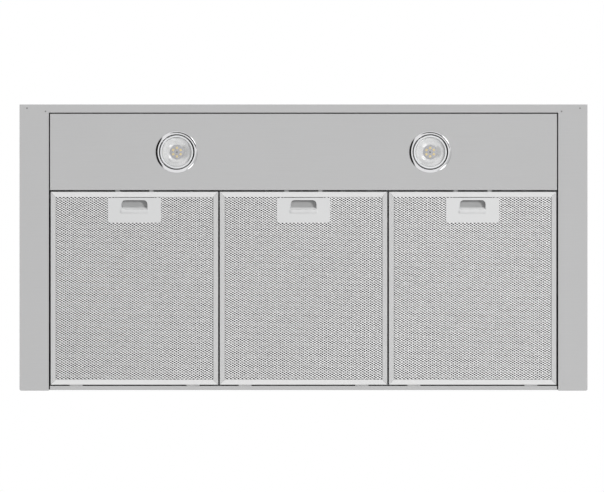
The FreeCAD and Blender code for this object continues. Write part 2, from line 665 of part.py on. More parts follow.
def filter_frame(label, x):
    """Channel frame of a filter, open inwards, with two rear tabs."""
    body = new_body(label)
    add(body, "XY_Plane", "filter_low_z", "filter_height",
        [rectangle("-filter_width / 2", "filter_width / 2", "0", "filter_depth")])
    cut(body, "XY_Plane", "net_low_z", "filter_height - filter_wall * 2",
        [rectangle("-filter_width / 2 + filter_wall", "filter_width / 2 - filter_wall",
                   "filter_wall", "filter_depth - filter_wall")])
    cut(body, "XY_Plane", "0", "filter_top_z * 2",
        [rectangle("-filter_width / 2 + frame_band", "filter_width / 2 - frame_band",
                   "frame_band", "filter_depth - frame_band")])
    tabs = []
    for side in ("-tab_offset", "tab_offset"):
        tabs.append(rectangle(side + " - tab_width / 2", side + " + tab_width / 2",
                              "filter_depth - filter_wall", "filter_depth + tab_length"))
    add(body, "XY_Plane", "filter_low_z", "tab_thickness", tabs)
    slots = []
    for side in ("-tongue_offset", "tongue_offset"):
        half = "(tongue_width / 2 + seat_gap)"
        slots.append(rectangle("%s - %s" % (side, half), "%s + %s" % (side, half),
                               "slide_low_z - seat_gap", "slide_top_z + seat_gap"))
    cut(body, "XZ_Plane", "-filter_wall", "filter_wall * 3", slots)
    place(body, x, "filter_front_y")


def latch_clearing():
    """The space of the latch housing, cut out of the net and the grease layer."""
    reach = number("slide_half_width + housing_wall * 2 + seat_gap")
    depth = number("housing_rear + housing_wall + seat_gap")
    past = number("filter_height")
    return Part.makeBox(2 * reach, depth + past, 3 * past, Vector(-reach, -past, -past))


def filter_net(label, x):
    """Front net of a filter, with a coarse count of its diamond openings."""
    half = number("filter_width / 2 - filter_wall - seat_gap")
    edge = number("filter_wall + seat_gap")
    length = number("filter_depth") - 2 * edge
    thickness = number("net_thickness")
    columns, rows = int(number("net_columns")), int(number("net_rows"))
    inset = number("frame_band")
    pitch_x = (2 * half - 2 * inset) / columns
    pitch_y = (length - 2 * inset) / rows
    strand = number("net_strand")
    slim_x = (pitch_x - strand * number("net_slant")) / 2
    slim_y = (pitch_y - strand) / 2
    low = number("net_low_z")
    clearing = latch_clearing().BoundBox
    holes = []
    for row in range(2 * rows - 1):
        shift = 0.5 if row % 2 == 0 else 1.0
        for column in range(columns if row % 2 == 0 else columns - 1):
            centre_x = -half + inset + (column + shift) * pitch_x
            centre_y = edge + inset + (row + 1) * pitch_y / 2
            near_latch = (centre_y - slim_y < clearing.YMax + strand
                          and abs(centre_x) - slim_x < clearing.XMax + strand)
            if near_latch:
                continue
            holes.append(Part.makePolygon([
                Vector(centre_x - slim_x, centre_y, low),
                Vector(centre_x, centre_y - slim_y, low),
                Vector(centre_x + slim_x, centre_y, low),
                Vector(centre_x, centre_y + slim_y, low),
                Vector(centre_x - slim_x, centre_y, low)]))
    rim = Part.makePolygon([
        Vector(-half, edge, low), Vector(half, edge, low),
        Vector(half, edge + length, low), Vector(-half, edge + length, low),
        Vector(-half, edge, low)])
    sheet = Part.makeFace([rim] + holes, "Part::FaceMakerBullseye")
    net = sheet.extrude(Vector(0, 0, thickness))
    piece = made_shape(label, net.cut(latch_clearing()))
    place(piece, x, "filter_front_y")


def grease_layer(label, x):
    """Pleated inner layer of a filter, between the net and the frame's top edge."""
    half = number("filter_width / 2 - filter_wall - seat_gap")
    edge = number("filter_wall + seat_gap")
    length = number("filter_depth") - 2 * edge
    low = number("net_top_z")
    high = number("filter_top_z - filter_wall - seat_gap")
    sheet = number("pleat_sheet")
    pleats = int(number("pleats"))
    step = length / (2 * pleats)
    lower, upper = [], []
    for i in range(2 * pleats + 1):
        y = edge + i * step
        valley = i % 2 == 0
        lower.append(Vector(-half, y, low if valley else high - sheet))
        upper.append(Vector(-half, y, low + sheet if valley else high))
    layer = face_of(lower + upper[::-1]).extrude(Vector(2 * half, 0, 0))
    piece = made_shape(label, layer.cut(latch_clearing()))
    place(piece, x, "filter_front_y")


def latch_plate(label, x):
    """Latch plate with its finger hole and the housing behind it."""
    body = new_body(label)
    half = "latch_plate_width / 2"
    add(body, "XY_Plane", "plate_low_z", "latch_plate_thickness",
        [rectangle("-" + half, half, "plate_front", "plate_rear")])
    round_edges(body, "latch_plate_radius",
                upright_at([("-" + half, "plate_rear"), (half, "plate_rear")]))
    inner = "slide_half_width + seat_gap * 2"
    outer = inner + " + housing_wall"
    add(body, "XY_Plane", "net_low_z", "housing_height",
        [rectangle("-(%s)" % outer, outer, "frame_band + seat_gap",
                   "housing_rear + housing_wall")])
    cut(body, "XY_Plane", "net_low_z", "housing_height - housing_wall",
        [rectangle("-(%s)" % inner, inner, "0", "housing_rear")])
    slot_rear = "lip_front + cup_wall + latch_travel + seat_gap"
    cut(body, "XY_Plane", "0", "net_low_z + slip",
        [rectangle("-finger_width / 2", "finger_width / 2", "finger_front", slot_rear)])
    round_edges(body, "finger_radius", upright_at(
        [("-finger_width / 2", "finger_front"), ("finger_width / 2", "finger_front")]))
    place(body, x, "filter_front_y")


def latch_slide(label, x):
    """Spring-loaded slide: two tongues, the sloped finger cup and the thumb lip."""
    body = new_body(label)
    cup_half = "finger_width / 2 - seat_gap"
    cup_rear = "lip_front + cup_wall"
    cup_top = "housing_top_z - housing_wall - seat_gap"
    cup_front = "finger_front - cup_overlap"
    add(body, "YZ_Plane", "-(%s)" % cup_half, "2 * (%s)" % cup_half, [[
        ("lip_front", "lip_low_z"),
        ("lip_rear", "lip_low_z"),
        ("lip_rear", "lip_low_z + lip_thickness"),
        (cup_rear, "lip_low_z + lip_thickness"),
        (cup_rear, "slide_low_z"),
        ("slide_rear", "slide_low_z"),
        ("slide_rear", "slide_top_z"),
        ("lip_front - tongue_thickness", "slide_top_z"),
        ("finger_front + cup_overlap", cup_top),
        (cup_front, cup_top),
        (cup_front, cup_top + " - housing_wall"),
        ("finger_front + seat_gap", cup_top + " - housing_wall")]])
    for low, high in (("-slide_half_width", "-(%s)" % cup_half), (cup_half, "slide_half_width")):
        add(body, "XY_Plane", "slide_low_z", "tongue_thickness",
            [rectangle(low, high, "slide_front", "slide_rear")])
    tongues = []
    for side in ("-tongue_offset", "tongue_offset"):
        tongues.append(rectangle(side + " - tongue_width / 2", side + " + tongue_width / 2",
                                 "tongue_tip", "slide_front + filter_wall"))
    add(body, "XY_Plane", "slide_low_z", "tongue_thickness", tongues)
    place(body, x, "filter_front_y")


def latch_spring(label, x):
    """Bowed leaf spring between the housing's rear wall and the slide."""
    reach = number("leaf_half_length")
    wall_y = number("housing_rear")
    slide_y = number("slide_rear + slip")
    thick = number("leaf_thickness")
    low = number("slide_low_z + seat_gap")
    outer = Part.Arc(Vector(-reach, wall_y, low), Vector(0, slide_y, low),
                     Vector(reach, wall_y, low)).toShape()
    inner = Part.Arc(Vector(-reach + thick, wall_y, low), Vector(0, slide_y + thick, low),
                     Vector(reach - thick, wall_y, low)).toShape()
    ends = [Part.makeLine(Vector(-reach, wall_y, low), Vector(-reach + thick, wall_y, low)),
            Part.makeLine(Vector(reach, wall_y, low), Vector(reach - thick, wall_y, low))]
    band = Part.Wire(Part.__sortEdges__([outer, inner] + ends))
    leaf = Part.Face(band).extrude(Vector(0, 0, number("leaf_height")))
    piece = made_shape(label, leaf)
    place(piece, x, "filter_front_y")


# ---------------------------------------------------------------------------
# Motor box and blower
# ---------------------------------------------------------------------------

BOX_SCREWS = []
for column in ("-(%s)", "-(%s) / 3", "(%s) / 3", "(%s)"):
    for row in ("box_front_y - box_flange / 2", "box_rear_y + box_flange / 2"):
        BOX_SCREWS.append((column % "box_width / 2 - box_screw_inset", row))

SCROLL_EXIT = "scroll_half_width + scroll_flange / 2 + sheet"
COLLAR_SCREWS = [(x, y) for x in ("-(%s)" % SCROLL_EXIT, SCROLL_EXIT)
                 for y in ("-collar_screw_offset", "collar_screw_offset")]


def motor_box():
    """Sheet steel box over the blower, with a foot flange."""
    body = new_body("motor_box")
    low_x, high_x = "-box_width / 2", "box_width / 2"
    add(body, "XY_Plane", "top_z", "box_height + sheet",
        [rectangle(low_x, high_x, "box_front_y", "box_rear_y")])
    inside = rectangle(low_x + " + sheet", high_x + " - sheet",
                       "box_front_y + sheet", "box_rear_y - sheet")
    cut(body, "XY_Plane", "top_z - sheet", "box_height + sheet", [inside])
    inner_corners = [(x, y) for x in (low_x + " + sheet", high_x + " - sheet")
                     for y in ("box_front_y + sheet", "box_rear_y - sheet")]
    round_edges(body, "box_corner_radius - sheet", upright_at(inner_corners))
    corners = [(x, y) for x in (low_x, high_x) for y in ("box_front_y", "box_rear_y")]
    round_edges(body, "box_corner_radius", upright_at(corners))
    for low_y, high_y in (("box_front_y - box_flange", "box_front_y + sheet / 2"),
                          ("box_rear_y - sheet / 2", "box_rear_y + box_flange")):
        add(body, "XY_Plane", "top_z", "sheet",
            [rectangle(low_x + " + box_corner_radius", high_x + " - box_corner_radius",
                       low_y, high_y)])
    cut(body, "XY_Plane", "top_z - sheet", "sheet * 3",
        circles=[(x, y, "screw_radius + slip") for x, y in BOX_SCREWS])
    cut(body, "XY_Plane", "box_top_z - sheet", "sheet * 4",
        circles=[("0", "collar_y", "collar_radius - collar_sheet")]
        + [(x, "collar_y + " + y, "screw_radius + slip") for x, y in COLLAR_SCREWS])


def scroll_paths(x=0):
    """Inner and outer path of the scroll band about the wheel axis, at one x."""
    start = number("scroll_start_radius")
    growth = number("scroll_growth") / 360
    sheet = number("sheet")
    first = number("tongue_angle")
    top = number("box_top_z - scroll_axis_height")
    turn_steps = 11
    sweep = first + 180

    def spiral(extra):
        points = []
        for i in range(turn_steps + 1):
            turned = sweep * i / turn_steps
            radius = start + growth * turned + extra
            angle = math.radians(first - turned)
            points.append(Vector(x, radius * math.cos(angle), radius * math.sin(angle)))
        return points

    inner, outer = spiral(0), spiral(sheet)
    tongue_y = inner[0].y + sheet
    outer[0] = Vector(x, tongue_y, math.sqrt((start + sheet) ** 2 - tongue_y ** 2))

    def path(points):
        curve = Part.BSplineCurve()
        curve.interpolate(points)
        return [Part.makeLine(Vector(x, points[0].y, top), points[0]), curve.toShape(),
                Part.makeLine(points[-1], Vector(x, points[-1].y, top))]

    return path(inner), path(outer)


def scroll_place(piece):
    place(piece, "0", "collar_y + scroll_exit_offset", "scroll_axis_height")


def scroll_wrap():
    """Spiral band of the blower scroll, from the tongue round to the outlet."""
    half = number("scroll_half_width")
    inner, outer = scroll_paths(-half)
    ends = [Part.makeLine(inner[0].Vertexes[0].Point, outer[0].Vertexes[0].Point),
            Part.makeLine(inner[2].Vertexes[1].Point, outer[2].Vertexes[1].Point)]
    band = Part.Wire(Part.__sortEdges__(inner + outer + ends))
    wrap = Part.Face(band).extrude(Vector(2 * half, 0, 0))
    piece = made_shape("scroll_wrap", wrap)
    scroll_place(piece)


def scroll_side(label, sign):
    """Side plate of the scroll with its drawn inlet and outlet flange."""
    half, sheet = number("scroll_half_width"), number("sheet")
    outer = scroll_paths(half)[1]
    throat, mouth = number("inlet_radius"), number("inlet_mouth_radius")
    depth = number("inlet_depth")
    lid = Part.makeLine(outer[0].Vertexes[0].Point, outer[2].Vertexes[1].Point)
    rim = Part.Wire(Part.__sortEdges__(outer + [lid]))
    plate = Part.Face(rim).extrude(Vector(sheet, 0, 0))
    hole = Part.makeCylinder(mouth, sheet * 4, Vector(half - sheet, 0, 0), Vector(1, 0, 0))
    plate = plate.cut(hole)
    # drawn inlet: a cone that narrows from the plate into the scroll
    face, end = half + sheet, half + sheet - depth
    section = face_of([Vector(face, mouth, 0), Vector(end, throat, 0),
                       Vector(end, throat + sheet, 0), Vector(half, mouth + sheet, 0),
                       Vector(face, mouth + sheet, 0)])
    inlet = section.revolve(Vector(0, 0, 0), Vector(1, 0, 0), 360)
    top = number("box_top_z - scroll_axis_height")
    low_y, high_y = outer[2].Vertexes[1].Point.y, outer[0].Vertexes[0].Point.y
    flange = Part.makeBox(number("scroll_flange") + sheet, high_y - low_y, sheet,
                          Vector(half, low_y, top - sheet))
    side = plate.fuse([inlet, flange]).removeSplitter()
    for x, y in COLLAR_SCREWS[2:]:
        spot = Vector(number(x), number(y + " - scroll_exit_offset"), top - 2 * sheet)
        side = side.cut(Part.makeCylinder(number("screw_radius + slip"), 4 * sheet, spot))
    if sign < 0:
        side = side.mirror(Vector(0, 0, 0), Vector(1, 0, 0))
    piece = made_shape(label, side)
    scroll_place(piece)


def impeller():
    """Double-width wheel: hub, middle disc, end rings and forward-curved blades."""
    radius, inner = number("wheel_radius"), number("blade_inner_radius")
    half, disc = number("wheel_half_width"), number("wheel_disc")
    ring, open_radius = number("wheel_ring"), number("blade_inner_radius + blade_foot")
    thick, folds = number("blade_thickness"), int(number("blade_folds"))
    axis, origin = Vector(1, 0, 0), Vector(0, 0, 0)
    hub_radius, hub_length = number("hub_radius"), number("hub_length")
    wheel = Part.makeCylinder(radius - thick, disc, Vector(-disc / 2, 0, 0), axis)
    hub = Part.makeCylinder(hub_radius, hub_length, Vector(-hub_length / 4, 0, 0), axis)
    parts = [hub]
    for start in (-half, half - ring):
        hoop = Part.makeCylinder(radius, ring, Vector(start, 0, 0), axis)
        parts.append(hoop.cut(Part.makeCylinder(open_radius, ring, Vector(start, 0, 0), axis)))
    # blade section in Y and Z: straight folds that sweep forward to the rim
    lean = number("blade_lean")
    front, back = [], []
    for i in range(folds + 1):
        share = i / folds
        at = inner + (radius - thick / 2 - inner) * share
        angle = math.radians(lean * share ** 2)
        offset = thick / at
        front.append(Vector(-half, at * math.cos(angle), at * math.sin(angle)))
        back.append(Vector(-half, at * math.cos(angle + offset), at * math.sin(angle + offset)))
    blade = face_of(front + back[::-1]).extrude(Vector(2 * half, 0, 0))
    count = int(number("blade_count"))
    for i in range(count):
        turned = blade.copy()
        turned.rotate(origin, axis, 360 * i / count)
        parts.append(turned)
    wheel = wheel.fuse(parts)
    bore = Part.makeCylinder(number("shaft_radius + bearing_clearance / 2"), 2 * half,
                             Vector(-half, 0, 0), axis)
    piece = made_shape("impeller", wheel.cut(bore))
    scroll_place(piece)


def motor():
    """Motor inside the left half of the wheel, with its bearing bore."""
    body = new_body("motor")
    bore = "shaft_radius + bearing_clearance"
    left = "-scroll_half_width - sheet"
    right = left + " + motor_length"
    turn(body, [
        (left, "0"), (left, "motor_radius - motor_bevel * 3"),
        (left + " + motor_bevel", "motor_radius"), (right + " - motor_bevel", "motor_radius"),
        (right, "motor_radius - motor_bevel"), (right, "motor_nose_radius"),
        (right + " + motor_nose_length", "motor_nose_radius"),
        (right + " + motor_nose_length", bore), (left + " + motor_end_wall", bore),
        (left + " + motor_end_wall", "0"),
    ], axis="H_Axis")
    scroll_place(body)


def motor_shaft():
    body = new_body("motor_shaft")
    start = "-scroll_half_width - sheet + motor_end_wall + bearing_clearance"
    turn(body, [(start, "0"), (start, "shaft_radius"),
                (start + " + shaft_length", "shaft_radius"), (start + " + shaft_length", "0")],
         axis="H_Axis")
    scroll_place(body)


def motor_bracket():
    """Three-armed bracket that hangs the motor in the left inlet."""
    sheet = number("bracket_sheet")
    face = number("-scroll_half_width - sheet - bracket_sheet")
    axis, origin = Vector(1, 0, 0), Vector(0, 0, 0)
    star = Part.makeCylinder(number("bracket_ring_radius"), sheet, Vector(face, 0, 0), axis)
    width = number("bracket_arm_width")
    for i in range(3):
        arm = Part.makeBox(sheet, width, number("bracket_reach"), Vector(face, -width / 2, 0))
        arm.rotate(origin, axis, 60 + 120 * i)
        star = star.fuse(arm)
    hole = Part.makeCylinder(number("bracket_hole_radius"), sheet, Vector(face, 0, 0), axis)
    piece = made_shape("motor_bracket", star.cut(hole).removeSplitter())
    scroll_place(piece)


def capacitor():
    """Motor capacitor, standing on the top panel beside the air hole."""
    body = new_body("capacitor")
    turn(body, [("0", "0"), ("capacitor_radius", "0"),
                ("capacitor_radius", "capacitor_height - capacitor_bevel"),
                ("capacitor_radius - capacitor_bevel", "capacitor_height"),
                ("0", "capacitor_height")])
    place(body, "-box_width / 2 + sheet + air_hole_inset_x / 2",
          "box_rear_y - capacitor_from_rear", "top_z")


# ---------------------------------------------------------------------------
# Duct collar
# ---------------------------------------------------------------------------

def duct_collar():
    """Round collar with an inner seat for the flaps, slid over the rim of its flange."""
    flange = new_body("collar_flange")
    bore = "collar_radius - collar_sheet * 2 - slip"
    turn(flange, [
        (bore, "0"), ("collar_flange_radius", "0"), ("collar_flange_radius", "collar_sheet"),
        (bore + " + collar_sheet", "collar_sheet"),
        (bore + " + collar_sheet", "collar_rim_height"), (bore, "collar_rim_height")])
    cut(flange, "XY_Plane", "-collar_sheet", "collar_sheet * 3",
        circles=[(x, y, "screw_radius + slip") for x, y in COLLAR_SCREWS])
    body = new_body("duct_collar")
    wall = "collar_radius - collar_sheet"
    seat_top = "flap_axis_height - flap_sheet / 2 - running_gap"
    seat_low = seat_top + " - flap_seat_height"
    turn(body, [
        (wall, "collar_sheet"), ("collar_radius", "collar_sheet"),
        ("collar_radius", "collar_height"),
        (wall, "collar_height"), (wall, seat_top), (wall + " - flap_seat", seat_top),
        (wall + " - flap_seat", seat_low), (wall, seat_low)])
    cut(body, "YZ_Plane", "-collar_radius * 2", "collar_radius * 4",
        circles=[("0", "flap_axis_height", "flap_pin_radius + slip / 2")])
    for piece in (flange, body):
        place(piece, "0", "collar_y", "collar_foot_z")


def flap_pin():
    body = new_body("damper_pin")
    length = "collar_radius - slip"
    turn(body, [("-(%s)" % length, "0"), ("-(%s)" % length, "flap_pin_radius"),
                (length, "flap_pin_radius"), (length, "0")], axis="H_Axis")
    place(body, "0", "collar_y", "flap_z")


def flap(label, sign, eyes):
    """Half-round back-draught flap with two rolled eyes on the pin."""
    reach = number("collar_radius - collar_sheet - flap_rim_gap")
    sheet = number("flap_sheet")
    eye_radius = number("flap_knuckle_radius")
    clear = eye_radius + number("running_gap")
    length = number("knuckle_length")
    disc = Part.makeCylinder(reach, sheet, Vector(0, 0, -sheet / 2))
    half_plane = Part.makeBox(4 * reach, 2 * reach, 4 * sheet, Vector(-2 * reach, clear, -2 * sheet))
    blade = disc.common(half_plane)
    axis = Vector(1, 0, 0)
    bore = number("flap_pin_radius + bearing_clearance")
    for middle in eyes:
        start = number(middle) - length / 2
        eye = Part.makeCylinder(eye_radius, length, Vector(start, 0, 0), axis)
        web = Part.makeBox(length, clear + sheet, sheet, Vector(start, 0, -sheet / 2))
        blade = blade.fuse([eye, web])
    blade = blade.cut(Part.makeCylinder(bore, 4 * reach, Vector(-2 * reach, 0, 0), axis))
    blade = blade.removeSplitter()
    if sign < 0:
        blade = blade.mirror(Vector(0, 0, 0), Vector(0, 1, 0))
    piece = made_shape(label, blade)
    place(piece, "0", "collar_y", "flap_z")


# ---------------------------------------------------------------------------
# Electrical box
# ---------------------------------------------------------------------------

COVER_SCREWS = [("-terminal_box_width / 2 + cover_tab / 2", "0"),
                ("terminal_box_width / 2 - cover_tab / 2", "0")]


def terminal_box():
    """Electrical box on the top panel, with a cable entry in its left side."""
    body = new_body("junction_box")
    half_x, half_y = "terminal_box_width / 2", "terminal_box_depth / 2"
    add(body, "XY_Plane", "0", "terminal_box_height",
        [rectangle("-" + half_x, half_x, "-" + half_y, half_y)])
    cut(body, "XY_Plane", "sheet", "terminal_box_height",
        [rectangle("-%s + sheet" % half_x, half_x + " - sheet",
                   "-%s + sheet" % half_y, half_y + " - sheet")])
    for low, high in (("-%s + sheet / 2" % half_x, "-%s + cover_tab" % half_x),
                      (half_x + " - cover_tab", half_x + " - sheet / 2")):
        add(body, "XY_Plane", "terminal_box_height - sheet", "sheet",
            [rectangle(low, high, "-cover_tab", "cover_tab")])
    cut(body, "XY_Plane", "terminal_box_height - sheet * 2", "sheet * 3",
        circles=[(x, y, "screw_radius + slip") for x, y in COVER_SCREWS])
    cut(body, "YZ_Plane", "-%s - sheet" % half_x, "sheet * 3",
        circles=[("0", "knockout_height", "knockout_radius")])
    cover = new_body("junction_box_cover")
    grow = " + sheet + slip"
    add(cover, "XY_Plane", "terminal_box_height - panel_flange", "panel_flange + sheet",
        [rectangle("-(%s%s)" % (half_x, grow), half_x + grow,
                   "-(%s%s)" % (half_y, grow), half_y + grow)])
    cut(cover, "XY_Plane", "terminal_box_height - panel_flange - sheet", "panel_flange + sheet",
        [rectangle("-(%s + slip)" % half_x, half_x + " + slip",
                   "-(%s + slip)" % half_y, half_y + " + slip")])
    cut(cover, "XY_Plane", "terminal_box_height - sheet", "sheet * 3",
        circles=[(x, y, "screw_radius + slip") for x, y in COVER_SCREWS])
    board = new_body("control_board")
    board_low = "sheet + board_standoff"
    add(board, "XY_Plane", board_low, "board_thickness", [
        rectangle("-board_width / 2", "board_width / 2", "-board_depth / 2", "board_depth / 2")])
    posts = [(x, y, "post_radius")
             for x in ("-board_width / 2 + post_inset", "board_width / 2 - post_inset")
             for y in ("-board_depth / 2 + post_inset", "board_depth / 2 - post_inset")]
    add(board, "XY_Plane", "sheet", "board_standoff + slip", circles=posts)
    relays = [rectangle(at + " - relay_width / 2", at + " + relay_width / 2",
                        "-relay_depth / 2", "relay_depth / 2")
              for at in ("-relay_pitch", "0", "relay_pitch")]
    add(board, "XY_Plane", board_low + " + board_thickness - slip", "relay_height", relays)
    block = new_body("terminal_block")
    block_front = "-terminal_box_depth / 2 + sheet + block_set_back"
    add(block, "XY_Plane", "sheet", "block_height",
        [rectangle("-block_width / 2", "block_width / 2",
                   block_front, block_front + " + block_depth")])
    wells = [(x, block_front + " + block_depth / 2", "well_radius")
             for x in ("-block_width / 3", "0", "block_width / 3")]
    cut(block, "XY_Plane", "sheet + block_height - well_depth", "well_depth + slip",
        circles=wells)
    for piece in (body, cover, board, block):
        place(piece, "terminal_box_x", "terminal_box_y", "top_z")


# ---------------------------------------------------------------------------
# Fasteners
# ---------------------------------------------------------------------------

def screw(spot, direction):
    """Hex head screw whose head seats at spot and whose shank runs along direction."""
    corner, length = number("screw_head_radius"), number("screw_length")
    hexagon = []
    for i in range(6):
        angle = math.radians(60 * i)
        hexagon.append(Vector(corner * math.cos(angle), corner * math.sin(angle), 0))
    head = face_of(hexagon).extrude(Vector(0, 0, number("screw_head_height")))
    shank = Part.makeCylinder(number("screw_radius"), length, Vector(0, 0, -length))
    solid = head.fuse(shank)
    solid.Placement = FreeCAD.Placement(
        Vector(*spot), FreeCAD.Rotation(Vector(0, 0, -1), Vector(*direction)))
    return solid


def screw_group(label, spots, direction):
    made_shape(label, Part.makeCompound([screw(spot, direction) for spot in spots]))


def fasteners():
    top = number("top_z + sheet")
    screw_group("motor_box_screws",
                [(number(x), number(y), top) for x, y in BOX_SCREWS], (0, 0, -1))
    top = number("collar_foot_z + collar_sheet")
    screw_group("collar_screws",
                [(number(x), number("collar_y + " + y), top) for x, y in COLLAR_SCREWS],
                (0, 0, -1))
    centre = (number("terminal_box_x"), number("terminal_box_y"))
    top = number("top_z + terminal_box_height + sheet")
    screw_group("cover_screws", [(number(x) + centre[0], number(y) + centre[1], top)
                                 for x, y in COVER_SCREWS], (0, 0, -1))
    height = number("top_z - panel_flange / 2")
    right = [screw((number("half_width"), number(y), height), (-1, 0, 0)) for y in SIDE_SCREWS]
    left = [screw((-number("half_width"), number(y), height), (1, 0, 0)) for y in SIDE_SCREWS]
    made_shape("shell_screws", Part.makeCompound(left + right))
    rivets = []
    foot = number("sheet * 2")
    for x, y in both_sides(RIVETS):
        spot = Vector(number(x), number(y), 0)
        shank = Part.makeCylinder(number("rivet_radius"), foot, spot)
        head = Part.makeCylinder(number("rivet_head_radius"), number("rivet_head_height"),
                                 spot + Vector(0, 0, foot))
        rivets.append(shank.fuse(head))
    made_shape("corner_rivets", Part.makeCompound(rivets))


# ---------------------------------------------------------------------------
# Assembly
# ---------------------------------------------------------------------------

def add_place(name, text):
    """One more derived place, worked out after the scroll's form is known."""
    line = len(PLACES) + 2
    PLACE_NAMES.add(name)
    places.set("A%d" % line, name)
    places.set("B%d" % line, text)
    places.setAlias("B%d" % line, name)
    document.recompute()


inner_path, outer_path = scroll_paths()
exit_middle = (outer_path[0].Vertexes[0].Point.y + outer_path[2].Vertexes[1].Point.y) / 2
add_place("scroll_exit_offset", "%.6f" % -exit_middle)

outer_shell()
rear_panel()
top_panel()
chamber_wall("left_chamber_wall", "-")
chamber_wall("right_chamber_wall", "")
lamp_panel()
lamp_wall()
lamp("left", "-")
lamp("right", "")
lamp_driver()
for side, x in (("left", "-filter_pitch"), ("middle", "0"), ("right", "filter_pitch")):
    filter_frame("%s_filter_frame" % side, x)
    filter_net("%s_filter_net" % side, x)
    grease_layer("%s_grease_layer" % side, x)
    latch_plate("%s_latch_plate" % side, x)
    latch_slide("%s_latch_slide" % side, x)
    latch_spring("%s_latch_spring" % side, x)
motor_box()
scroll_wrap()
scroll_side("left_scroll_side", -1)
scroll_side("right_scroll_side", 1)
impeller()
motor()
motor_shaft()
motor_bracket()
capacitor()
duct_collar()
flap_pin()
flap("front_damper_flap", -1, ["-knuckle_offset", "knuckle_offset - knuckle_length - running_gap"])
flap("rear_damper_flap", 1, ["-knuckle_offset + knuckle_length + running_gap", "knuckle_offset"])
terminal_box()
fasteners()

document.recompute()
for item in document.Objects:
    if "Invalid" in item.State or "Error" in item.State:
        raise ValueError("%s failed: %s" % (item.Label, item.State))
for piece in pieces:
    if piece.Shape.isNull() or not piece.Shape.isValid() or not piece.Shape.Solids:
        raise ValueError("%s has no valid solid" % piece.Label)

os.makedirs("parts", exist_ok=True)
for piece in pieces:
    piece.Shape.exportStep("parts/%s.step" % piece.Label)
    print("%-24s %2d solid, %10.1f mm3" % (piece.Label, len(piece.Shape.Solids),
                                          piece.Shape.Volume))
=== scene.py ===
"""Finishes and studio for a range hood insert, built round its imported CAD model."""

import math

import bmesh
import bpy
from bpy.props import FloatProperty, FloatVectorProperty, IntProperty, PointerProperty
from bpy.types import Operator, Panel, PropertyGroup
from mathutils import Matrix, Vector


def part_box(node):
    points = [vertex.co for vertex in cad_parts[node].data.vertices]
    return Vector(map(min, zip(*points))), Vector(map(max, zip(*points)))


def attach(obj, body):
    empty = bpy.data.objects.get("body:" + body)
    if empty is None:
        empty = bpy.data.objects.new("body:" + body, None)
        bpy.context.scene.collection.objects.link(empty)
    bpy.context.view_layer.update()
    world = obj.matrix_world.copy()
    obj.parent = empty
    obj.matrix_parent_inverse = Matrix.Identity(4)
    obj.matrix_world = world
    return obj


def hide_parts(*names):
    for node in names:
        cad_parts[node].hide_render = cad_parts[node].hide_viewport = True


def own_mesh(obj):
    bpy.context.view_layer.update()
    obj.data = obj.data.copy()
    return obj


bl_info = {
    "name": "Range Hood Insert Finishes",
    "version": (1, 0, 0),
    "blender": (4, 5, 0),
    "location": "3D View > Sidebar > Range Hood",
    "description": "Sheet steel, mesh filters, lamps, duct collar and studio of a range hood",
    "category": "Object",
}

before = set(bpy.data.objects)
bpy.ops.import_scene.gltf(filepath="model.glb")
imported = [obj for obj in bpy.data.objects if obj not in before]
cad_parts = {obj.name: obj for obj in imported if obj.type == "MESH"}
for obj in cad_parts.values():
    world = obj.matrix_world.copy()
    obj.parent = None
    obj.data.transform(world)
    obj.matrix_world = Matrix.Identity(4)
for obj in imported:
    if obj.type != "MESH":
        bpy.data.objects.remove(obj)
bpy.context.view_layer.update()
MM = 0.001
FILTERS = ("left", "middle", "right")
LAMPS = ("left", "right")


# ---- Sizes and colours ----

def length(name, description, default):
    return FloatProperty(name=name, description=description, default=default * MM,
                         subtype="DISTANCE", unit="LENGTH", precision=5)


def colour(name, description, default):
    return FloatVectorProperty(name=name, description=description, default=default,
                               subtype="COLOR", size=3, min=0.0, max=1.0)


class HoodSizes(PropertyGroup):
    sheet_bend: length("Sheet Bend", "Bend radius that rounds the folded steel edges", 0.7)
    frame_band: length("Frame Band", "Visible width of the filter frame", 8.5)
    frame_sheet: length("Frame Sheet", "Sheet thickness of the filter frame", 1.0)
    mitre_gap: length("Mitre Gap", "Open seam in each mitred frame corner", 0.12)
    tab_length: length("Tab Length", "Rear tabs of a filter", 6.0)
    net_columns: IntProperty(name="Net Columns", description="Mesh openings across a filter",
                             default=41, min=11)
    net_rows: IntProperty(name="Net Rows", description="Mesh openings along a filter",
                          default=77, min=12)
    net_opening_x: FloatProperty(name="Opening Width", default=0.69, min=0.2, max=0.9,
                                 description="Mesh opening width as a share of its pitch")
    net_opening_y: FloatProperty(name="Opening Height", default=0.65, min=0.2, max=0.9,
                                 description="Mesh opening height as a share of its pitch")
    net_skew: length("Opening Skew", "Sideways lean of the ends of the mesh openings", 0.45)
    net_slant: FloatProperty(name="Net Slant", default=0.00575, min=-0.01, max=0.01,
                             description="Slope of the mesh rows across the filter")
    net_tilt: length("Strand Tilt", "Rise of each mesh strand from one edge to the other", 0.42)
    net_twist: length("Strand Twist", "Height between the two diagonals of the mesh", 0.30)
    net_wall: length("Net Wall", "Depth of the mesh openings", 0.5)
    lamp_chip: length("Light Chip", "Side of a light chip", 3.4)
    lamp_chip_circle: length("Chip Circle", "Radius of the circle of light chips", 6.6)


